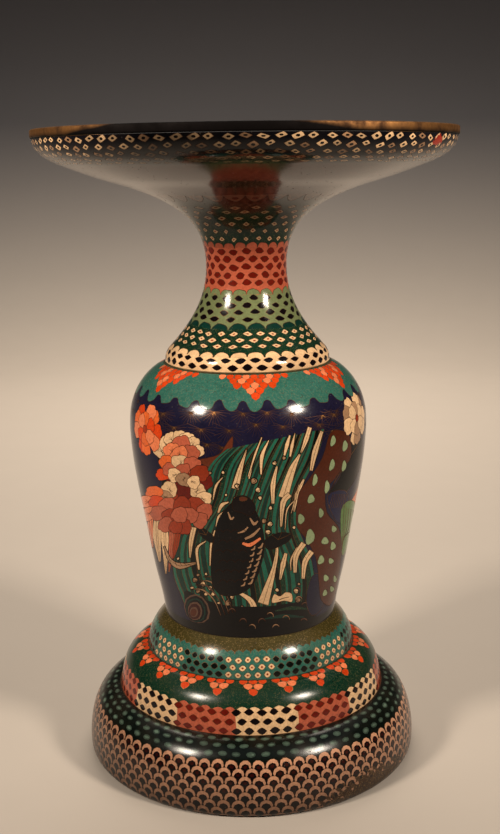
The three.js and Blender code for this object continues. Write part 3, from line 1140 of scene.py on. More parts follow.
def smoothOpen(points, per=5):
    p = np.array(points, float)
    p = np.concatenate([2 * p[:1] - p[1:2], p, 2 * p[-1:] - p[-2:-1]])
    a, b, c, d = p[:-3], p[1:-2], p[2:-1], p[3:]
    made = []
    for k in range(per):
        u = k / per
        made.append(0.5 * (2 * b + u * (c - a) + u**2 * (2 * a - 5 * b + 4 * c - d)
                           + u**3 * (3 * b - a - 3 * c + d)))
    return np.concatenate([np.stack(made, 1).reshape(-1, 2), p[-2:-1]])


def brushed(points, widths, per=5):
    # a stroke along a line, as wide as the widths say from its start to its end
    line = smoothOpen(points, per)
    along = np.gradient(line, axis=0)
    along /= np.maximum(np.hypot(*along.T), 1e-9)[:, None]
    side = np.stack([-along[:, 1], along[:, 0]], 1)
    width = np.interp(np.linspace(0, 1, len(line)), np.linspace(0, 1, len(widths)), widths)[:, None] / 2
    return np.concatenate([line + side * width, (line - side * width)[::-1]])


def lobed(x, y, wide, high, lobes, turn=0.0, depth=0.2):
    # a petal or leaf patch with a scalloped edge
    count = max(12, lobes * 5)
    points = []
    for i in range(count):
        t = 2 * math.pi * i / count
        reach = 1 - depth * (1 - abs(math.cos(lobes * t / 2)) ** 0.7)
        px, py = wide / 2 * reach * math.cos(t), high / 2 * reach * math.sin(t)
        c, s = math.cos(math.radians(turn)), math.sin(math.radians(turn))
        points.append((x + px * c - py * s, y + px * s + py * c))
    return points


def arcLine(x, y, radius, start, end, count=9):
    turns = [math.radians(start + (end - start) * i / (count - 1)) for i in range(count)]
    return [(x + radius * math.cos(t), y + radius * math.sin(t)) for t in turns]


nearJar, pastJar = 650, 900  # the jar's front lies between these distances from the camera


def photoToSkin(points):
    # where the camera's ray through each photo point meets the jar, as x round the jar and run up it
    turn = cameraMatrix()
    eye = np.array(turn.translation) / mm
    axes = np.array(turn.to_3x3())
    p = np.array(points, float)
    f = cameraSet["focalPixels"]
    rays = np.stack([(p[:, 0] - cameraSet["imageWide"] / 2) / f, -(p[:, 1] - cameraSet["imageHigh"] / 2) / f,
                     -np.ones(len(p))], 1) @ axes.T
    t = np.linspace(nearJar, pastJar, 500)
    way = eye + rays[:, None, :] * t[None, :, None]
    clear = np.hypot(way[..., 0], way[..., 1]) - np.interp(way[..., 2], jarSkin["z"], jarSkin["r"])
    hit = clear < 0
    first = np.where(hit.any(1), hit.argmax(1), clear.argmin(1))
    row = np.arange(len(p))
    back = np.maximum(first - 1, 0)
    a, b = clear[row, back], clear[row, first]
    share = np.where(hit.any(1), a / np.maximum(a - b, 1e-9), 1.0)[:, None]
    place = way[row, back] * (1 - share) + way[row, first] * share
    angle = np.arctan2(place[:, 0], -place[:, 1])
    run = np.interp(place[:, 2], jarSkin["z"], jarSkin["s"])
    return np.stack([(angle + math.pi) * pictureRadius, run], 1)


def onJar(shapes, turn=0.0):
    # photo outlines laid on the jar and turned round it by so many degrees
    laid = []
    for outline, *layers in shapes:
        flat = photoToSkin(outline) + (math.radians(turn) * pictureRadius, -jarSet["plainBase"])
        laid += cell(flat, *layers)
    return laid


def edged(outline, paint, wire="wire"):
    return [(outline, (wire, 0), (paint, wireWidth))]


# outlines, in photo pixels
fallLeft = [(227, 449), (209, 466), (204, 486), (198, 508), (184, 524), (173, 546), (174, 576), (184, 602),
            (194, 630)]
fallRight = [(324, 429), (319, 452), (308, 474), (299, 494), (297, 520), (301, 536), (312, 562), (314, 598),
             (304, 630)]
creamFalls = [
    ([(247, 448), (240, 470), (235, 489)], (1.0, 5.0, 7.0)),
    ([(255, 451), (252, 465), (249, 479)], (1, 2, 2)),
    ([(262, 437), (255, 455), (248, 477)], (1.5, 2.4, 1.5)),
    ([(269, 440), (262, 456), (261, 475)], (1.5, 4, 2)),
    ([(290, 435), (287, 445), (284, 457)], (2, 4, 2)), ([(295, 433), (292, 446), (290, 457)], (1, 3.4, 2)),
    ([(310, 427), (306, 440), (301, 453)], (4, 4.4, 2)), ([(322, 431), (315, 452), (311, 471)], (3, 5.4, 3)),
    ([(277, 466), (273, 485), (273, 504)], (2, 5, 3)), ([(300, 454), (292, 470), (283, 498)], (2, 6.5, 9)),
    ([(304, 479), (297, 495), (294, 512)], (2, 4.4, 1.6)),
    ([(299, 484), (295, 500), (291, 514)], (1, 1.6, 1)),
    ([(290, 494), (283, 503), (281, 527)], (5, 5.4, 2)), ([(295, 500), (287, 510), (285, 530)], (1, 1.8, 1)),
    ([(194, 527), (191, 542), (190, 558)], (5, 4.4, 1.6)),
    ([(206, 541), (197, 549), (199, 570)], (1.4, 3, 2)),
    ([(215, 530), (211, 545), (210, 566)], (1.6, 2.4, 1.4)),
    ([(229, 502), (222, 505), (218, 513)], (1.4, 4, 2)),
    ([(225, 511), (219, 517), (216, 527)], (1.6, 3.6, 1.6)),
    ([(223, 477), (216, 486), (213, 500)], (1.2, 2.8, 1.4)),
    ([(286, 553), (283, 565), (280, 580)], (3, 5, 2)), ([(304, 543), (296, 556), (295, 573)], (5, 5, 3)),
    ([(312, 551), (305, 562), (303, 579)], (5, 5, 3)), ([(297, 547), (291, 560), (291, 571)], (1, 2, 1)),
    ([(271, 539), (277, 546), (274, 568), (263, 604)], (1.4, 2.6, 4, 10)),
    ([(240, 593), (250, 600), (254, 608), (253, 617)], (3, 5, 6, 4)),
]
foamDots = [
    (210, 473, 3.6), (223, 472.5, 3.6), (226, 495, 3.0), (284, 458, 4.0), (274.5, 463, 4.6), (237, 486, 4.5),
    (235, 499, 4.0), (185, 526, 2.8), (178, 558.6, 2.8), (198, 575, 3.2), (206, 574, 3.0), (260, 498, 4.2),
    (264, 521, 5.0), (270, 524, 5.4), (268, 532, 5.0), (274, 536, 4.0), (270.5, 508, 4.0), (294, 527.5, 3.6),
    (299, 584, 3.0), (277, 590, 4.0), (232, 597, 4.4), (242, 607, 3.2), (241, 615, 4.0), (249, 626, 4.2),
    (289.6, 623, 6.0), (299.3, 622, 4.4), (306, 620.5, 3.6), (254, 481, 6.6), (258, 490, 5.4),
    (296, 591, 5.2),
    (298, 600, 5.4), (304, 605, 5.0), (270, 618, 7.0), (228, 603, 6.0), (213, 594, 4.2), (219, 604, 5.2),
    (195, 580, 5.0), (203, 584, 5.4), (210, 588, 4.6), (198, 591, 4.6), (206, 594, 4.0), (192, 588, 3.6),
]
carpBody = [(243, 496), (250, 500), (256, 511), (261, 522), (264, 535), (264.5, 550), (261, 566), (257, 578),
            (250, 588), (238, 595), (224, 596), (214, 589), (211, 576), (211, 560), (214, 538), (218, 520),
            (226, 508), (236, 499)]
carpHead = [(233, 499), (243, 495), (252, 500), (256, 509), (250, 516), (242, 513), (233, 510)]
carpMouth = (243, 499)
carpBack = (219, 534)   # the first of its large scales
carpBelly = ((262, 546), (261, 552), (260, 558), (258, 564), (256, 570), (254, 576), (252, 582))
carpFins = [[(214, 537), (208, 531), (200, 527), (199, 533), (204, 539), (212, 543)],
            [(264, 541), (272, 535), (282, 532), (291, 534), (290, 540), (281, 546), (268, 550)]]
carpGills = [([(228, 512), (231, 519), (234, 517)], (1, 2.2, 1)),
             ([(250, 518), (254, 524), (258, 521)], (1, 3.2, 1)),
             ([(238, 533), (244, 531), (248, 527)], (1, 2, 1.2)),
             ([(245, 539), (253, 535), (260, 528)], (2.0, 2.8, 1.4)),
             ([(242, 543), (250, 545), (261, 538)], (3.0, 4.6, 3.0))]
trunkPatches = [
    # dark hollows beside the trunk and one green leaf
    ([(352, 438), (362, 440), (360, 466), (350, 488), (334, 500), (328, 494), (340, 476)], "black"),
    ([(327, 496), (345, 490), (349, 506), (342, 522), (335, 520)], "nightBlue"),
    ([(312, 576), (322, 576), (324, 604), (312, 616), (306, 600)], "midnight"),
    ([(341, 510), (350, 500), (356, 506), (352, 532), (343, 556), (341, 540)], "leaf"),
]
trunkRibs = [
    # how many, the width at the end, then lines of points: x, y and how far each next rib is moved
    (5, 0.5, [[(344, 506, 2.4, 1), (343, 530, 1.8, 0), (342, 550, 0, -3)]]),
    (9, 0.4, [[(357, 446, -2.6, 4), (346, 462, -2.2, 4)], [(333, 494, 1.7, 0), (329, 508, 1.9, 0)]]),
]
trunkLine = [(330, 433), (322, 458), (308, 480), (299, 492), (296, 512), (297, 528), (305, 538), (314, 554),
             (317, 566), (319, 586), (321, 600), (329, 606), (335, 596), (339, 574), (342, 545), (338, 526),
             (327, 512), (326, 490), (334, 480), (343, 468), (351, 457), (350, 436), (341, 430)]
trunkSpots = [(333, 441, 6, 13, 12), (345, 446, 6, 13, 8), (332, 465, 6, 14, 14), (344, 466, 5, 13, 10),
              (315, 480, 6, 14, 10), (327, 487, 6, 15, 6), (311, 499, 8, 11, 20), (321, 513, 6, 11, 0),
              (301, 519, 8, 12, 0), (310, 537, 10, 18, 10), (334, 529, 6, 8, 0), (325, 541, 8, 9, 30),
              (333, 546, 6, 10, 10), (321, 560, 7, 11, 20), (331, 561, 6, 7, 0), (326, 578, 6, 8, 0),
              (335, 579, 4, 8, 0), (325, 593, 5, 8, 20), (332, 589, 5, 7, 0)]
topHeart, lowHeart, sideHeart, rightHeart = (184, 476), (182, 500), (145, 429), (357, 418)
topPetals = [
    # x, y, width, height, lobes, paint; the ones further back come first
    (162, 452, 10, 13, 3, "cream"), (166, 445, 10, 12, 3, "cream"), (172, 440, 10, 11, 3, "cream"),
    (180, 438, 11, 10, 3, "cream"), (187, 440, 11, 10, 3, "cream"), (193, 445, 10, 11, 3, "cream"),
    (197, 452, 9, 10, 3, "cream"), (181, 446, 15, 13, 3, "brick"), (172, 452, 12, 12, 3, "salmon"),
    (190, 455, 13, 13, 3, "brick"), (180, 455, 13, 11, 3, "salmon"), (167, 464, 10, 12, 3, "paleOrange"),
    (165, 474, 9, 12, 3, "orange"), (171, 470, 10, 11, 3, "brick"), (181, 463, 15, 10, 3, "cream"),
    (192, 466, 13, 12, 3, "brick"), (199, 473, 12, 13, 3, "rust"), (182, 471, 13, 9, 3, "brick"),
    (175, 475, 11, 9, 3, "cream"), (184, 479, 12, 9, 3, "oldCream"), (193, 482, 10, 9, 3, "cream"),
]
lowPetals = [
    (202, 484, 12, 15, 3, "darkRed"), (176, 484, 14, 14, 3, "darkRed"), (187, 492, 15, 15, 3, "darkRed"),
    (170, 490, 11, 12, 3, "cream"), (165, 497, 10, 11, 3, "oldCream"), (197, 491, 11, 11, 3, "cream"),
    (203, 499, 12, 11, 3, "cream"), (155, 493, 11, 12, 3, "paleOrange"), (149, 502, 9, 13, 3, "salmon"),
    (158, 503, 11, 12, 3, "orange"), (168, 505, 12, 12, 3, "brick"), (195, 505, 13, 13, 3, "rust"),
    (204, 511, 12, 11, 3, "brick"), (150, 513, 10, 12, 3, "salmon"), (160, 513, 11, 12, 3, "brick"),
    (199, 520, 12, 11, 3, "brick"), (171, 516, 12, 12, 3, "rust"), (182, 504, 13, 12, 3, "rust"),
    (189, 515, 12, 12, 3, "brick"), (184, 526, 12, 11, 3, "rust"), (166, 524, 11, 11, 3, "brick"),
    (176, 526, 10, 10, 3, "rust"), (180, 514, 12, 11, 3, "brick"),
]
peonyGaps = ([(158, 452), (167, 455), (168, 466), (160, 467)],
             [(162, 476), (172, 474), (174, 494), (164, 494)])
peonyBases = ((184, 478, 34, 40, 5), (178, 508, 46, 34, 6))
peonyTail = ([(164, 546), (170, 560), (180, 566), (196, 563)], (1, 3, 6, 2))
peonyTailRibs = [(168 + k * 5, 556 + k * 2, 566) for k in range(5)]
petalStripes = [([(158, 514), (157, 535), (160, 562)], (7, 9, 2), "cream"),
                ([(164, 518), (165, 540), (166, 574)], (6, 8, 1.5), "cream"),
                ([(172, 524), (172, 545), (169, 572)], (6, 7, 1.5), "brick"),
                ([(179, 527), (176, 545), (173, 560)], (6, 6, 1.5), "rust"),
                ([(152, 510), (150, 530), (153, 548)], (4, 6, 1.5), "salmon")]
rockEdge = [(233, 436), (232, 452), (226, 462), (210, 468), (197, 460), (205, 458), (219, 454), (226, 444)]
needleRoots = [(163, 413, 13), (191, 412, 14), (214, 412, 16), (243, 413, 16), (267, 412, 15), (292, 413, 15),
               (319, 424, 19), (334, 414, 15), (348, 424, 13), (174, 427, 15), (201, 429, 16), (229, 430, 17),
               (256, 424, 14), (283, 426, 12), (207, 444, 15), (222, 447, 12), (154, 430, 13), (150, 412, 11),
               (341, 452, 10)]


def waterfall(count=37):
    # stripes of water run between the two sides, with brass wires between them
    left, right = smoothOpen(fallLeft, 3), smoothOpen(fallRight, 3)
    flows = []
    for i, u in enumerate(np.linspace(0, 1, count)):
        sway = 0.9 * np.sin(np.linspace(0, 5, len(left)) + i * 1.7) * (0 < i < count - 1)
        flows.append(left * (1 - u) + right * u + np.stack([sway, 0 * sway], 1))
    paints = ("teal", "deepTeal", "forest", "teal", "blackGreen", "deepTeal", "teal")
    shapes = []
    for i, (a, b) in enumerate(zip(flows, flows[1:])):
        shapes.append((np.concatenate([a, b[::-1]]), (paints[i * 5 % 7], 0)))
    for flow in flows:
        shapes.append((brushed(flow[::2], (0.5, 0.5), 2), ("wire", 0)))
    return shapes


def strokesOf(strokes, paint="cream"):
    # cream strokes inside a dark margin, as the water is drawn
    shapes = [(brushed(line, [w + 1.6 for w in widths], 4), ("blackGreen", 0)) for line, widths in strokes]
    for line, widths in strokes:
        shapes += edged(brushed(line, [w * 1.15 for w in widths], 4), paint)
        if max(widths) > 4.2:
            shapes.append((brushed(line[1:] if len(line) > 3 else line, (0.3, 0.5), 3), ("wire", 0)))
    return shapes


def foam():
    shapes = []
    for i, (x, y, size) in enumerate(foamDots):
        shapes += [(lobed(x, y, size + 1.6, size + 1.4, 3, i * 40, 0.1), ("blackGreen", 0))]
        paint = "cream" if i % 3 else "oldCream"
        shapes += [(lobed(x, y, size, size * 0.92, 3, i * 40, 0.22), ("wire", 0), (paint, 0.25))]
        if size > 4.3:
            hook = arcLine(x, y, size * 0.24, i * 50, i * 50 + 220, 5)
            shapes += [(brushed(hook, (0.8, 0.5), 2), ("darkWire", 0))]
    return shapes


# the pool and its foam, in photo pixels too
poolEdge = [(184, 592), (206, 600), (232, 606), (270, 606), (300, 602), (316, 606), (312, 628), (290, 640),
            (240, 644), (198, 636)]
poolSwells = ((284, 616, 40, "deepTeal"), (292, 608, 34, "forest"), (262, 632, 44, "deepTeal"))
swirlMiddle = (197, 609)
swirlRings = (("dimShell", 16), ("black", 14.6), ("deepTeal", 12.6), ("black", 11.4), ("dimShell", 9.6),
              ("oxblood", 8.2), ("dimShell", 5.4), ("brown", 4.2))
swirlCrest = ((191, 589, 1), (203, 590, 1), (214, 600, 0.5), (221, 616, 0.25))
foamShell = [(272, 603), (274, 594), (280, 596), (286, 592), (292, 594), (292, 602), (284, 601)]
foamShellLine = [(279, 600), (284, 598), (289, 597)]
hooks = [(297, 591, 200), (299, 600, 170), (305, 606, 190), (270, 616, 200), (262, 622, 160), (286, 619, 190),
         (243, 622, 180), (252, 628, 200), (232, 612, 170), (296, 628, 180), (304, 622, 200), (276, 628, 170)]


def waves():
    # the pool under the fall: a dark pool with one ringed swirl, long swells and hooks of foam
    shapes = [(smoothClosed(poolEdge), ("black", 0))]
    for x, y, wide, paint in poolSwells:
        line = [(x - wide / 2, y + 3), (x, y), (x + wide / 2, y + 1)]
        shapes.append((brushed(line, (1, 4, 1), 4), (paint, 0)))
    x, y = swirlMiddle
    for i, (paint, size) in enumerate(swirlRings):
        ring = lobed(x - 0.5 * i, y + 0.5 * i, 1.5 * size, 2.1 * size, 2, -28 + 5 * i, 0.1)
        shapes.append((ring, (paint, 0)))
    for shift in (0, 4, 8, 12):
        # four curling crests over the swirl, each further out than the last
        line = [(x + shift, y - shift * fall) for x, y, fall in swirlCrest]
        paint = "dimShell" if shift % 8 else "oldCream"
        shapes += edged(brushed(line, (0.8, 2.0, 1.6, 0.8), 3), paint, "darkWire")
    shapes += edged(smoothClosed(foamShell), "cream")
    shapes += edged(brushed(foamShellLine, (0.8, 0.6), 2), "oxblood")
    for i, (x, y, turn) in enumerate(hooks):
        paint = "oldCream" if i % 2 else "dimShell"
        shapes += edged(brushed(arcLine(x, y, 3.4, turn, turn + 190, 7), (0.8, 1.9, 0.8), 2), paint,
                        "darkWire")
    return shapes


def carp():
    shapes = []
    for fin in carpFins:
        shapes += edged(smoothClosed(fin, 3), "black", "darkWire")
        middle = np.mean(fin, axis=0)
        for corner in fin[1:4]:
            shapes.append((brushed([middle, corner], (0.5, 0.4), 2), ("wire", 0)))
    shapes += edged(smoothClosed(carpBody, 3), "black", "darkWire")
    shapes += edged(smoothClosed(carpHead, 3), "softBlack", "darkWire")
    shapes += edged(lobed(*carpMouth, 9, 5, 3, 0), "brownRed")
    for line, widths in carpGills[:4]:
        shapes += [(brushed(line, widths, 3), ("oldCream", 0))]
    shapes += edged(brushed(*carpGills[4], 3), "salmon")
    for x, y in carpBelly:
        shapes += [(brushed([(x - 4, y + 2), (x - 1, y + 1), (x + 1, y - 3)], (0.8, 2.2, 1), 3),
                    ("oldCream", 0))]
        shapes += [(brushed([(x - 11, y + 4), (x - 8, y + 3), (x - 7, y)], (0.8, 1.8, 0.8), 3),
                    ("oldCream", 0))]
    for row in range(6):
        for column in range(4):
            x, y = carpBack[0] + column * 8 + (row % 2) * 4, carpBack[1] + row * 10
            shapes += [(brushed(arcLine(x, y, 4.2, 200, 340, 5), (0.45, 0.45), 2), ("darkWire", 0))]
    return shapes


def pineTrunk():
    shapes = []
    for outline, paint in trunkPatches:
        shapes += edged(smoothClosed(outline, 3), paint)
    for count, width, lines in trunkRibs:
        for k in range(count):
            for points in lines:
                line = [(x + k * dx, y + k * dy) for x, y, dx, dy in points]
                shapes.append((brushed(line, (0.5, width), len(points)), ("wire", 0)))
    shapes += edged(smoothClosed(trunkLine, 3), "brown", "darkWire")
    for x, y, wide, high, turn in trunkSpots:
        shapes += edged(lobed(x, y, wide, high, 3, turn, 0.3), "paleLeaf", "darkWire")
    return shapes


def blooms(cells, heart, swell=1.5):
    # petals that open away from the heart of the flower, the pale ones ribbed with fine wires
    shapes = []
    for i, (x, y, wide, high, lobes, paint) in enumerate(cells):
        turn = math.atan2(y - heart[1], x - heart[0]) + 0.5 * math.sin(i * 2.4)
        shapes += edged(petal(x, y, wide * swell, high * swell, lobes, turn), paint, "darkWire")
        if paint in ("cream", "oldCream", "salmon"):
            for k in (-0.5, 0, 0.5):
                c, s = math.cos(turn + k), math.sin(turn + k)
                rib = [(x - 0.25 * high * c, y - 0.25 * high * s), (x + 0.32 * high * c, y + 0.32 * high * s)]
                shapes.append((brushed(rib, (0.42, 0.3), 2), ("dimWire", 0)))
    return shapes


def wholeBloom(heart, radius, paints, turn=0):
    # a round flower seen from the side in the photo, so it is laid out straight on the jar
    x, y = photoToSkin([heart])[0] + (math.radians(turn) * pictureRadius, -jarSet["plainBase"])
    shapes = []
    for ring, (count, out, size) in enumerate(((9, 0.66, 0.72), (6, 0.36, 0.6))):
        for i in range(count):
            way = 2 * math.pi * (i + 0.5 * ring) / count + 0.2 * math.sin(i * 2.4)
            place = (x + out * radius * math.cos(way), y + out * radius * math.sin(way))
            outline = petal(*place, size * radius, size * radius, 3, way)
            shapes += cell(outline, ("darkWire", 0), (paints[i % len(paints)], wireWidth))
    return shapes + cell(oval(x, y, 0.34 * radius, 0.34 * radius, 8), ("darkWire", 0), ("rust", wireWidth))


def peony():
    shapes = []
    for outline in peonyGaps:
        shapes += edged(smoothClosed(outline, 3), "black")
    for line, widths, paint in petalStripes:
        shapes += edged(brushed(line, widths, 4), paint)
        for shift in (-1.3, 1.3):
            rib = [(x + shift * (1 - k / len(line)), y) for k, (x, y) in enumerate(line)]
            shapes.append((brushed(rib, (0.45, 0.35), 3), ("wire", 0)))
    for base in peonyBases:
        shapes += edged(lobed(*base), "rust", "darkWire")
    shapes += blooms(lowPetals, lowHeart) + blooms(topPetals, topHeart)
    shapes += strokesOf([peonyTail], "oldCream")
    for x, y, foot in peonyTailRibs:
        shapes.append((brushed([(x, y), (x + 4, foot)], (0.5, 0.4), 2), ("darkWire", 0)))
    return shapes


def needles(count=15):
    # pine needles spray down and out from a bright root
    shapes = []
    for k, (x, y, reach) in enumerate(needleRoots):
        for i in range(count):
            turn = math.radians(-16 + i * 212 / (count - 1) + (k % 4) * 3)
            far = reach * (0.78 + 0.22 * ((i * 7 + k) % 5) / 4)
            tip = (x + far * math.cos(turn), y + far * math.sin(turn))
            half = ((x + tip[0]) / 2, (y + tip[1]) / 2)
            paint = "dimWire" if i % 3 else "darkWire"
            shapes.append((brushed([(x, y), half, tip], (0.5, 0.32, 0.24), 1), (paint, 0)))
        shapes.append((brushed([(x - 1.6, y + 3), (x, y), (x + 1.6, y + 3)], (0.3, 0.9, 0.3), 1),
                       ("goldWire", 0)))
    return shapes


def shoulder(width, height):
    # teal cloud with rounded lobes, and six hanging triangles of orange scales
    lobes, points = jarSet["lobes"], []
    low, high = jarSet["lobeLow"] - jarSet["plainBase"], jarSet["lobeHigh"] - jarSet["plainBase"]
    step = width / lobes
    for i in range(lobes * 12 + 1):
        t = (i % 12) / 12
        wave = math.sin(math.pi * t / 0.62) if t < 0.62 else -math.sin(math.pi * (t - 0.62) / 0.38)
        uneven = 0.7 * math.sin(i * 0.61) + 0.5 * math.sin(i * 0.23 + 1)
        edge = 1 - min(1, abs(2 * i / (lobes * 12) - 1)) ** 20
        depth = (low + high) / 2 - (high - low) / 2 * math.copysign(abs(wave) ** 0.5, wave) + uneven * edge
        points.append((i * step / 12, depth))
    cloud = [(-1, points[0][1])] + points + [(width + 1, points[-1][1]), (width + 1, height + 1),
                                             (-1, height + 1)]
    shapes = wired(cloud, "turquoise", "darkWire")
    curls = np.random.default_rng(5)
    count = jarSet["curls"]
    for i in range(count):
        x, y = width * (i + curls.uniform(0, 0.8)) / count, high + 1.8 + (i * 7 % 11) * 1.85
        turn = curls.uniform(0, 360)
        size = curls.uniform(0.8, 1.5)
        shapes.append((brushed(arcLine(x, y, size, turn, turn + 200, 5), (0.24, 0.24), 1), "darkWire"))
    size, deep = jarSet["scaleWide"], jarSet["scaleDeep"]
    for turn in jarSet["groupAngles"]:
        middle = width * (0.5 + turn / 360)
        for row in range(5):
            for i in range(-5, 6):
                along = i + (0.5 if row % 2 else 0)
                if abs(along) < row + 0.35:
                    x, y = middle + along * size, height - 2.4 - (4 - row) * deep
                    paint = "salmon" if (i + 2 * row) % 3 == 1 else "orange"
                    shapes += cell(scaleCell(x, y, size * 1.03, deep * 1.5), ("goldWire", 0), (paint, 0.22))
    return [(np.array(outline), paint) for outline, paint in shapes]


def jarPicture(width, height):
    # the front is the photo's own scene; the sides and back repeat its water, pine and flowers
    front = edged(smoothClosed(rockEdge, 3), "brownRed", "darkWire")
    front += waterfall() + strokesOf(creamFalls) + foam() + waves() + carp()
    front += pineTrunk() + peony()
    orange, pale = ("orange", "paleOrange", "salmon"), ("cream", "oldCream", "cream")
    shapes = onJar(needles(8), 180) + onJar(needles(8), 90) + onJar(needles(8), 270) + onJar(needles())
    shapes += onJar(waterfall(19) + strokesOf(creamFalls) + foam() + waves(), 180) + onJar(peony(), 144)
    shapes += onJar(pineTrunk(), 196)
    shapes += wholeBloom(sideHeart, 17, orange, 318) + wholeBloom(rightHeart, 16, pale, 37)
    shapes += onJar(front) + wholeBloom(sideHeart, 18, orange) + wholeBloom(rightHeart, 18, pale)
    return shapes + shoulder(width, height)


jarBands = stacked(
    {"to": jarSet["plainBase"], "count": 36, "ground": "black"},
    {"to": jarSkin["length"], "count": 1, "ground": "midnight", "cells": jarPicture, "pitch": 3.6},
)
jarShell = enamelSkin("jarShell", jarSkin, jarBands, 83,
                      enamelMaterial("jarEnamel", 0.6, 0.12, 0.02), wireMaterial("jarWire"))
closeShell(jarShell, spunLining("jarLining", jarIn, liningMaterial("jarInside", "moss")), jarSkin)
dress(jarShell, "body_enamel", "body")

# rim band, rolled brass
rimLow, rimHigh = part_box("rim_band")
rimSet = {
    "corner": 1.1,
    "wide": 4.4,
    "bright": (158, 110, 62),
    "dull": (70, 46, 28),
    "sootAndShade": (14, 9, 8),
    "shadeTop": 446.6,       # painted shade: the band is black up to this height, and further up in front
    "shadeRise": 12.0,
    "shadeReach": 95.0,      # from the middle of the painted shade
    "shadeMiddle": (-0.025, -0.140, 0.448),  # metres
    "roundsAt": 50,         # degrees, sharper edges stay crisp
}


def makeRim():
    # a washer is drawn flat, pulled up and rounded on its edges
    radius, wide = rimHigh.x / mm, rimSet["wide"]
    bpy.ops.object.select_all(action="DESELECT")
    bpy.ops.mesh.primitive_circle_add(vertices=180, radius=radius * mm, location=(0, 0, rimLow.z))
    ring = bpy.context.object
    ring.name = "rimBand"
    bpy.ops.object.transform_apply(location=True, rotation=True, scale=True)
    bpy.ops.object.mode_set(mode="EDIT")
    bpy.ops.mesh.select_all(action="SELECT")
    share = (radius - wide) / radius
    bpy.ops.mesh.extrude_edges_move()
    bpy.ops.transform.resize(value=(share, share, 1))
    bpy.ops.mesh.select_all(action="SELECT")
    bpy.ops.mesh.extrude_region_move(TRANSFORM_OT_translate={"value": (0, 0, rimHigh.z - rimLow.z)})
    bpy.ops.mesh.select_all(action="SELECT")
    bpy.ops.mesh.normals_make_consistent(inside=False)
    bpy.ops.object.mode_set(mode="OBJECT")
    edges = bmesh.new()
    edges.from_mesh(ring.data)
    for edge in edges.edges:
        a, b = edge.verts
        edge.select = abs(a.co.z - b.co.z) < 1e-6 and abs(a.co.xy.length - b.co.xy.length) < 1e-6
    edges.select_flush(True)
    edges.to_mesh(ring.data)
    edges.free()
    bpy.ops.object.mode_set(mode="EDIT")
    bpy.ops.mesh.select_mode(type="EDGE")
    bpy.ops.mesh.bevel(offset=rimSet["corner"] * mm, segments=4, affect="EDGES")
    bpy.ops.object.mode_set(mode="OBJECT")
    bpy.ops.object.shade_smooth_by_angle(angle=math.radians(rimSet["roundsAt"]))
    return ring


rimBand = makeRim()
rimBand.data.materials.append(rimMaterial("rimBrass", rimSet))
dress(rimBand, "rim_metal", "rim_band")

# the studio: a pale floor, two soft lamps in front, one behind and a dim pale sky
studioSet = {
    "floorRadius": 1.7,             # metres
    "bend": 0.9,
    "wallHigh": 2.6,
    "fadeHigh": 0.55,               # the pale floor goes over into the darker wall by this height
    "floorColour": (0.42, 0.37, 0.32, 1),
    "wallColour": (0.10, 0.095, 0.10, 1),
    "skyColour": (0.75, 0.78, 0.85, 1),
    "skyStrength": 0.22,
    "lampColour": (1.0, 0.88, 0.74),
    "lamps": {
        # place, aim, size, spread in degrees, watts
        "leftLamp": ((-0.78, -0.62, 0.86), (0, 0, 0.24), 0.20, 70, 2.35),
        "rightLamp": ((0.78, -0.62, 0.86), (0, 0, 0.24), 0.20, 70, 2.35),
        "backLamp": ((0, 1.2, 1.6), (0, 1.3, 0), 1.2, 110, 21.0),
    },
}


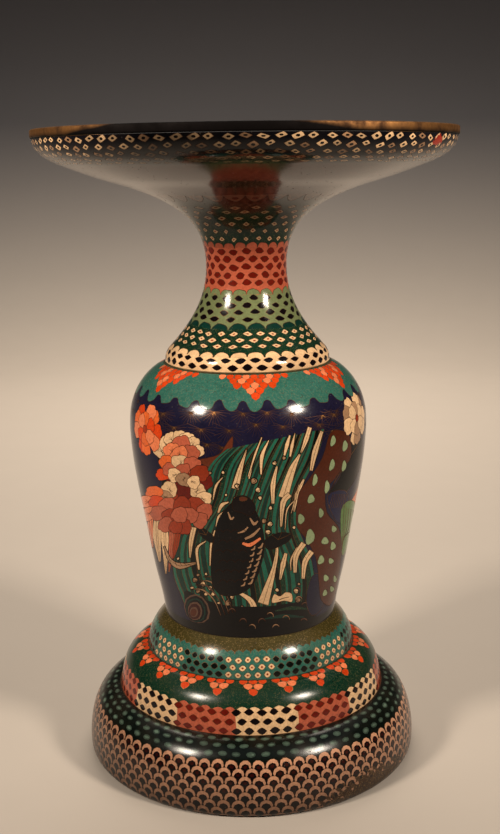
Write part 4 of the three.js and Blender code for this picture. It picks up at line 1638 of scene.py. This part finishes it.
def addFloor():
    # a pale floor that sweeps up into a darker wall all round
    reach, bend, wall = studioSet["floorRadius"], studioSet["bend"], studioSet["wallHigh"]
    turns = [math.pi / 2 * i / 8 for i in range(9)]
    line = [(0, 0)] + [(reach + bend * math.sin(t), bend * (1 - math.cos(t))) for t in turns]
    line.append((reach + bend, wall))
    mesh = bpy.data.meshes.new("studioFloor")
    mesh.from_pydata([(x, 0, z) for x, z in line], [(i, i + 1) for i in range(len(line) - 1)], [])
    floor = bpy.data.objects.new("studioFloor", mesh)
    bpy.context.collection.objects.link(floor)
    onlyThis(floor)
    bpy.ops.object.mode_set(mode="EDIT")
    bpy.ops.mesh.select_all(action="SELECT")
    bpy.ops.mesh.spin(steps=96, angle=2 * math.pi, center=(0, 0, 0), axis=(0, 0, 1))
    bpy.ops.mesh.select_all(action="SELECT")
    bpy.ops.mesh.remove_doubles(threshold=0.01 * mm)
    bpy.ops.mesh.normals_make_consistent(inside=True)
    bpy.ops.object.mode_set(mode="OBJECT")
    bpy.ops.object.shade_smooth()
    material, tree, shader = newMaterial("paleFloor")
    noise = addNode(tree, "ShaderNodeTexNoise", {"Scale": 18.0, "Detail": 3.0})
    coordinates = addNode(tree, "ShaderNodeTexCoord")
    join(tree, (coordinates.outputs["Object"], noise.inputs["Vector"]))
    pale = studioSet["floorColour"]
    darker = tuple(c * 0.96 for c in pale[:3]) + (1,)
    cloudy = mixColour(tree, noise.outputs["Fac"], darker, pale)
    split = addNode(tree, "ShaderNodeSeparateXYZ")
    tree.links.new(coordinates.outputs["Object"], split.inputs[0])
    climb = mathNode(tree, "DIVIDE", split.outputs["Z"], studioSet["fadeHigh"], clamp=True)
    tree.links.new(mixColour(tree, climb, cloudy, studioSet["wallColour"]), shader.inputs["Base Color"])
    shader.inputs["Roughness"].default_value = 0.7
    floor.data.materials.append(material)


def addLamp(name, place, target, size, spread, power):
    lamp = bpy.data.lights.new(name, "AREA")
    lamp.energy = power
    lamp.size = size
    lamp.spread = math.radians(spread)
    lamp.color = studioSet["lampColour"]
    stand = bpy.data.objects.new(name, lamp)
    bpy.context.collection.objects.link(stand)
    stand.location = place
    aim = Vector(target) - Vector(place)
    stand.rotation_mode = "QUATERNION"
    stand.rotation_quaternion = aim.to_track_quat("-Z", "Y")


def addSky():
    world = bpy.data.worlds.new("studioSky")
    bpy.context.scene.world = world
    world.use_nodes = True
    sky = world.node_tree.nodes["Background"]
    sky.inputs["Color"].default_value = studioSet["skyColour"]
    sky.inputs["Strength"].default_value = studioSet["skyStrength"]


addFloor()
for lampName, lampValues in studioSet["lamps"].items():
    addLamp(lampName, *lampValues)
addSky()
bpy.context.scene.view_settings.view_transform = "Standard"
print("studio ready")
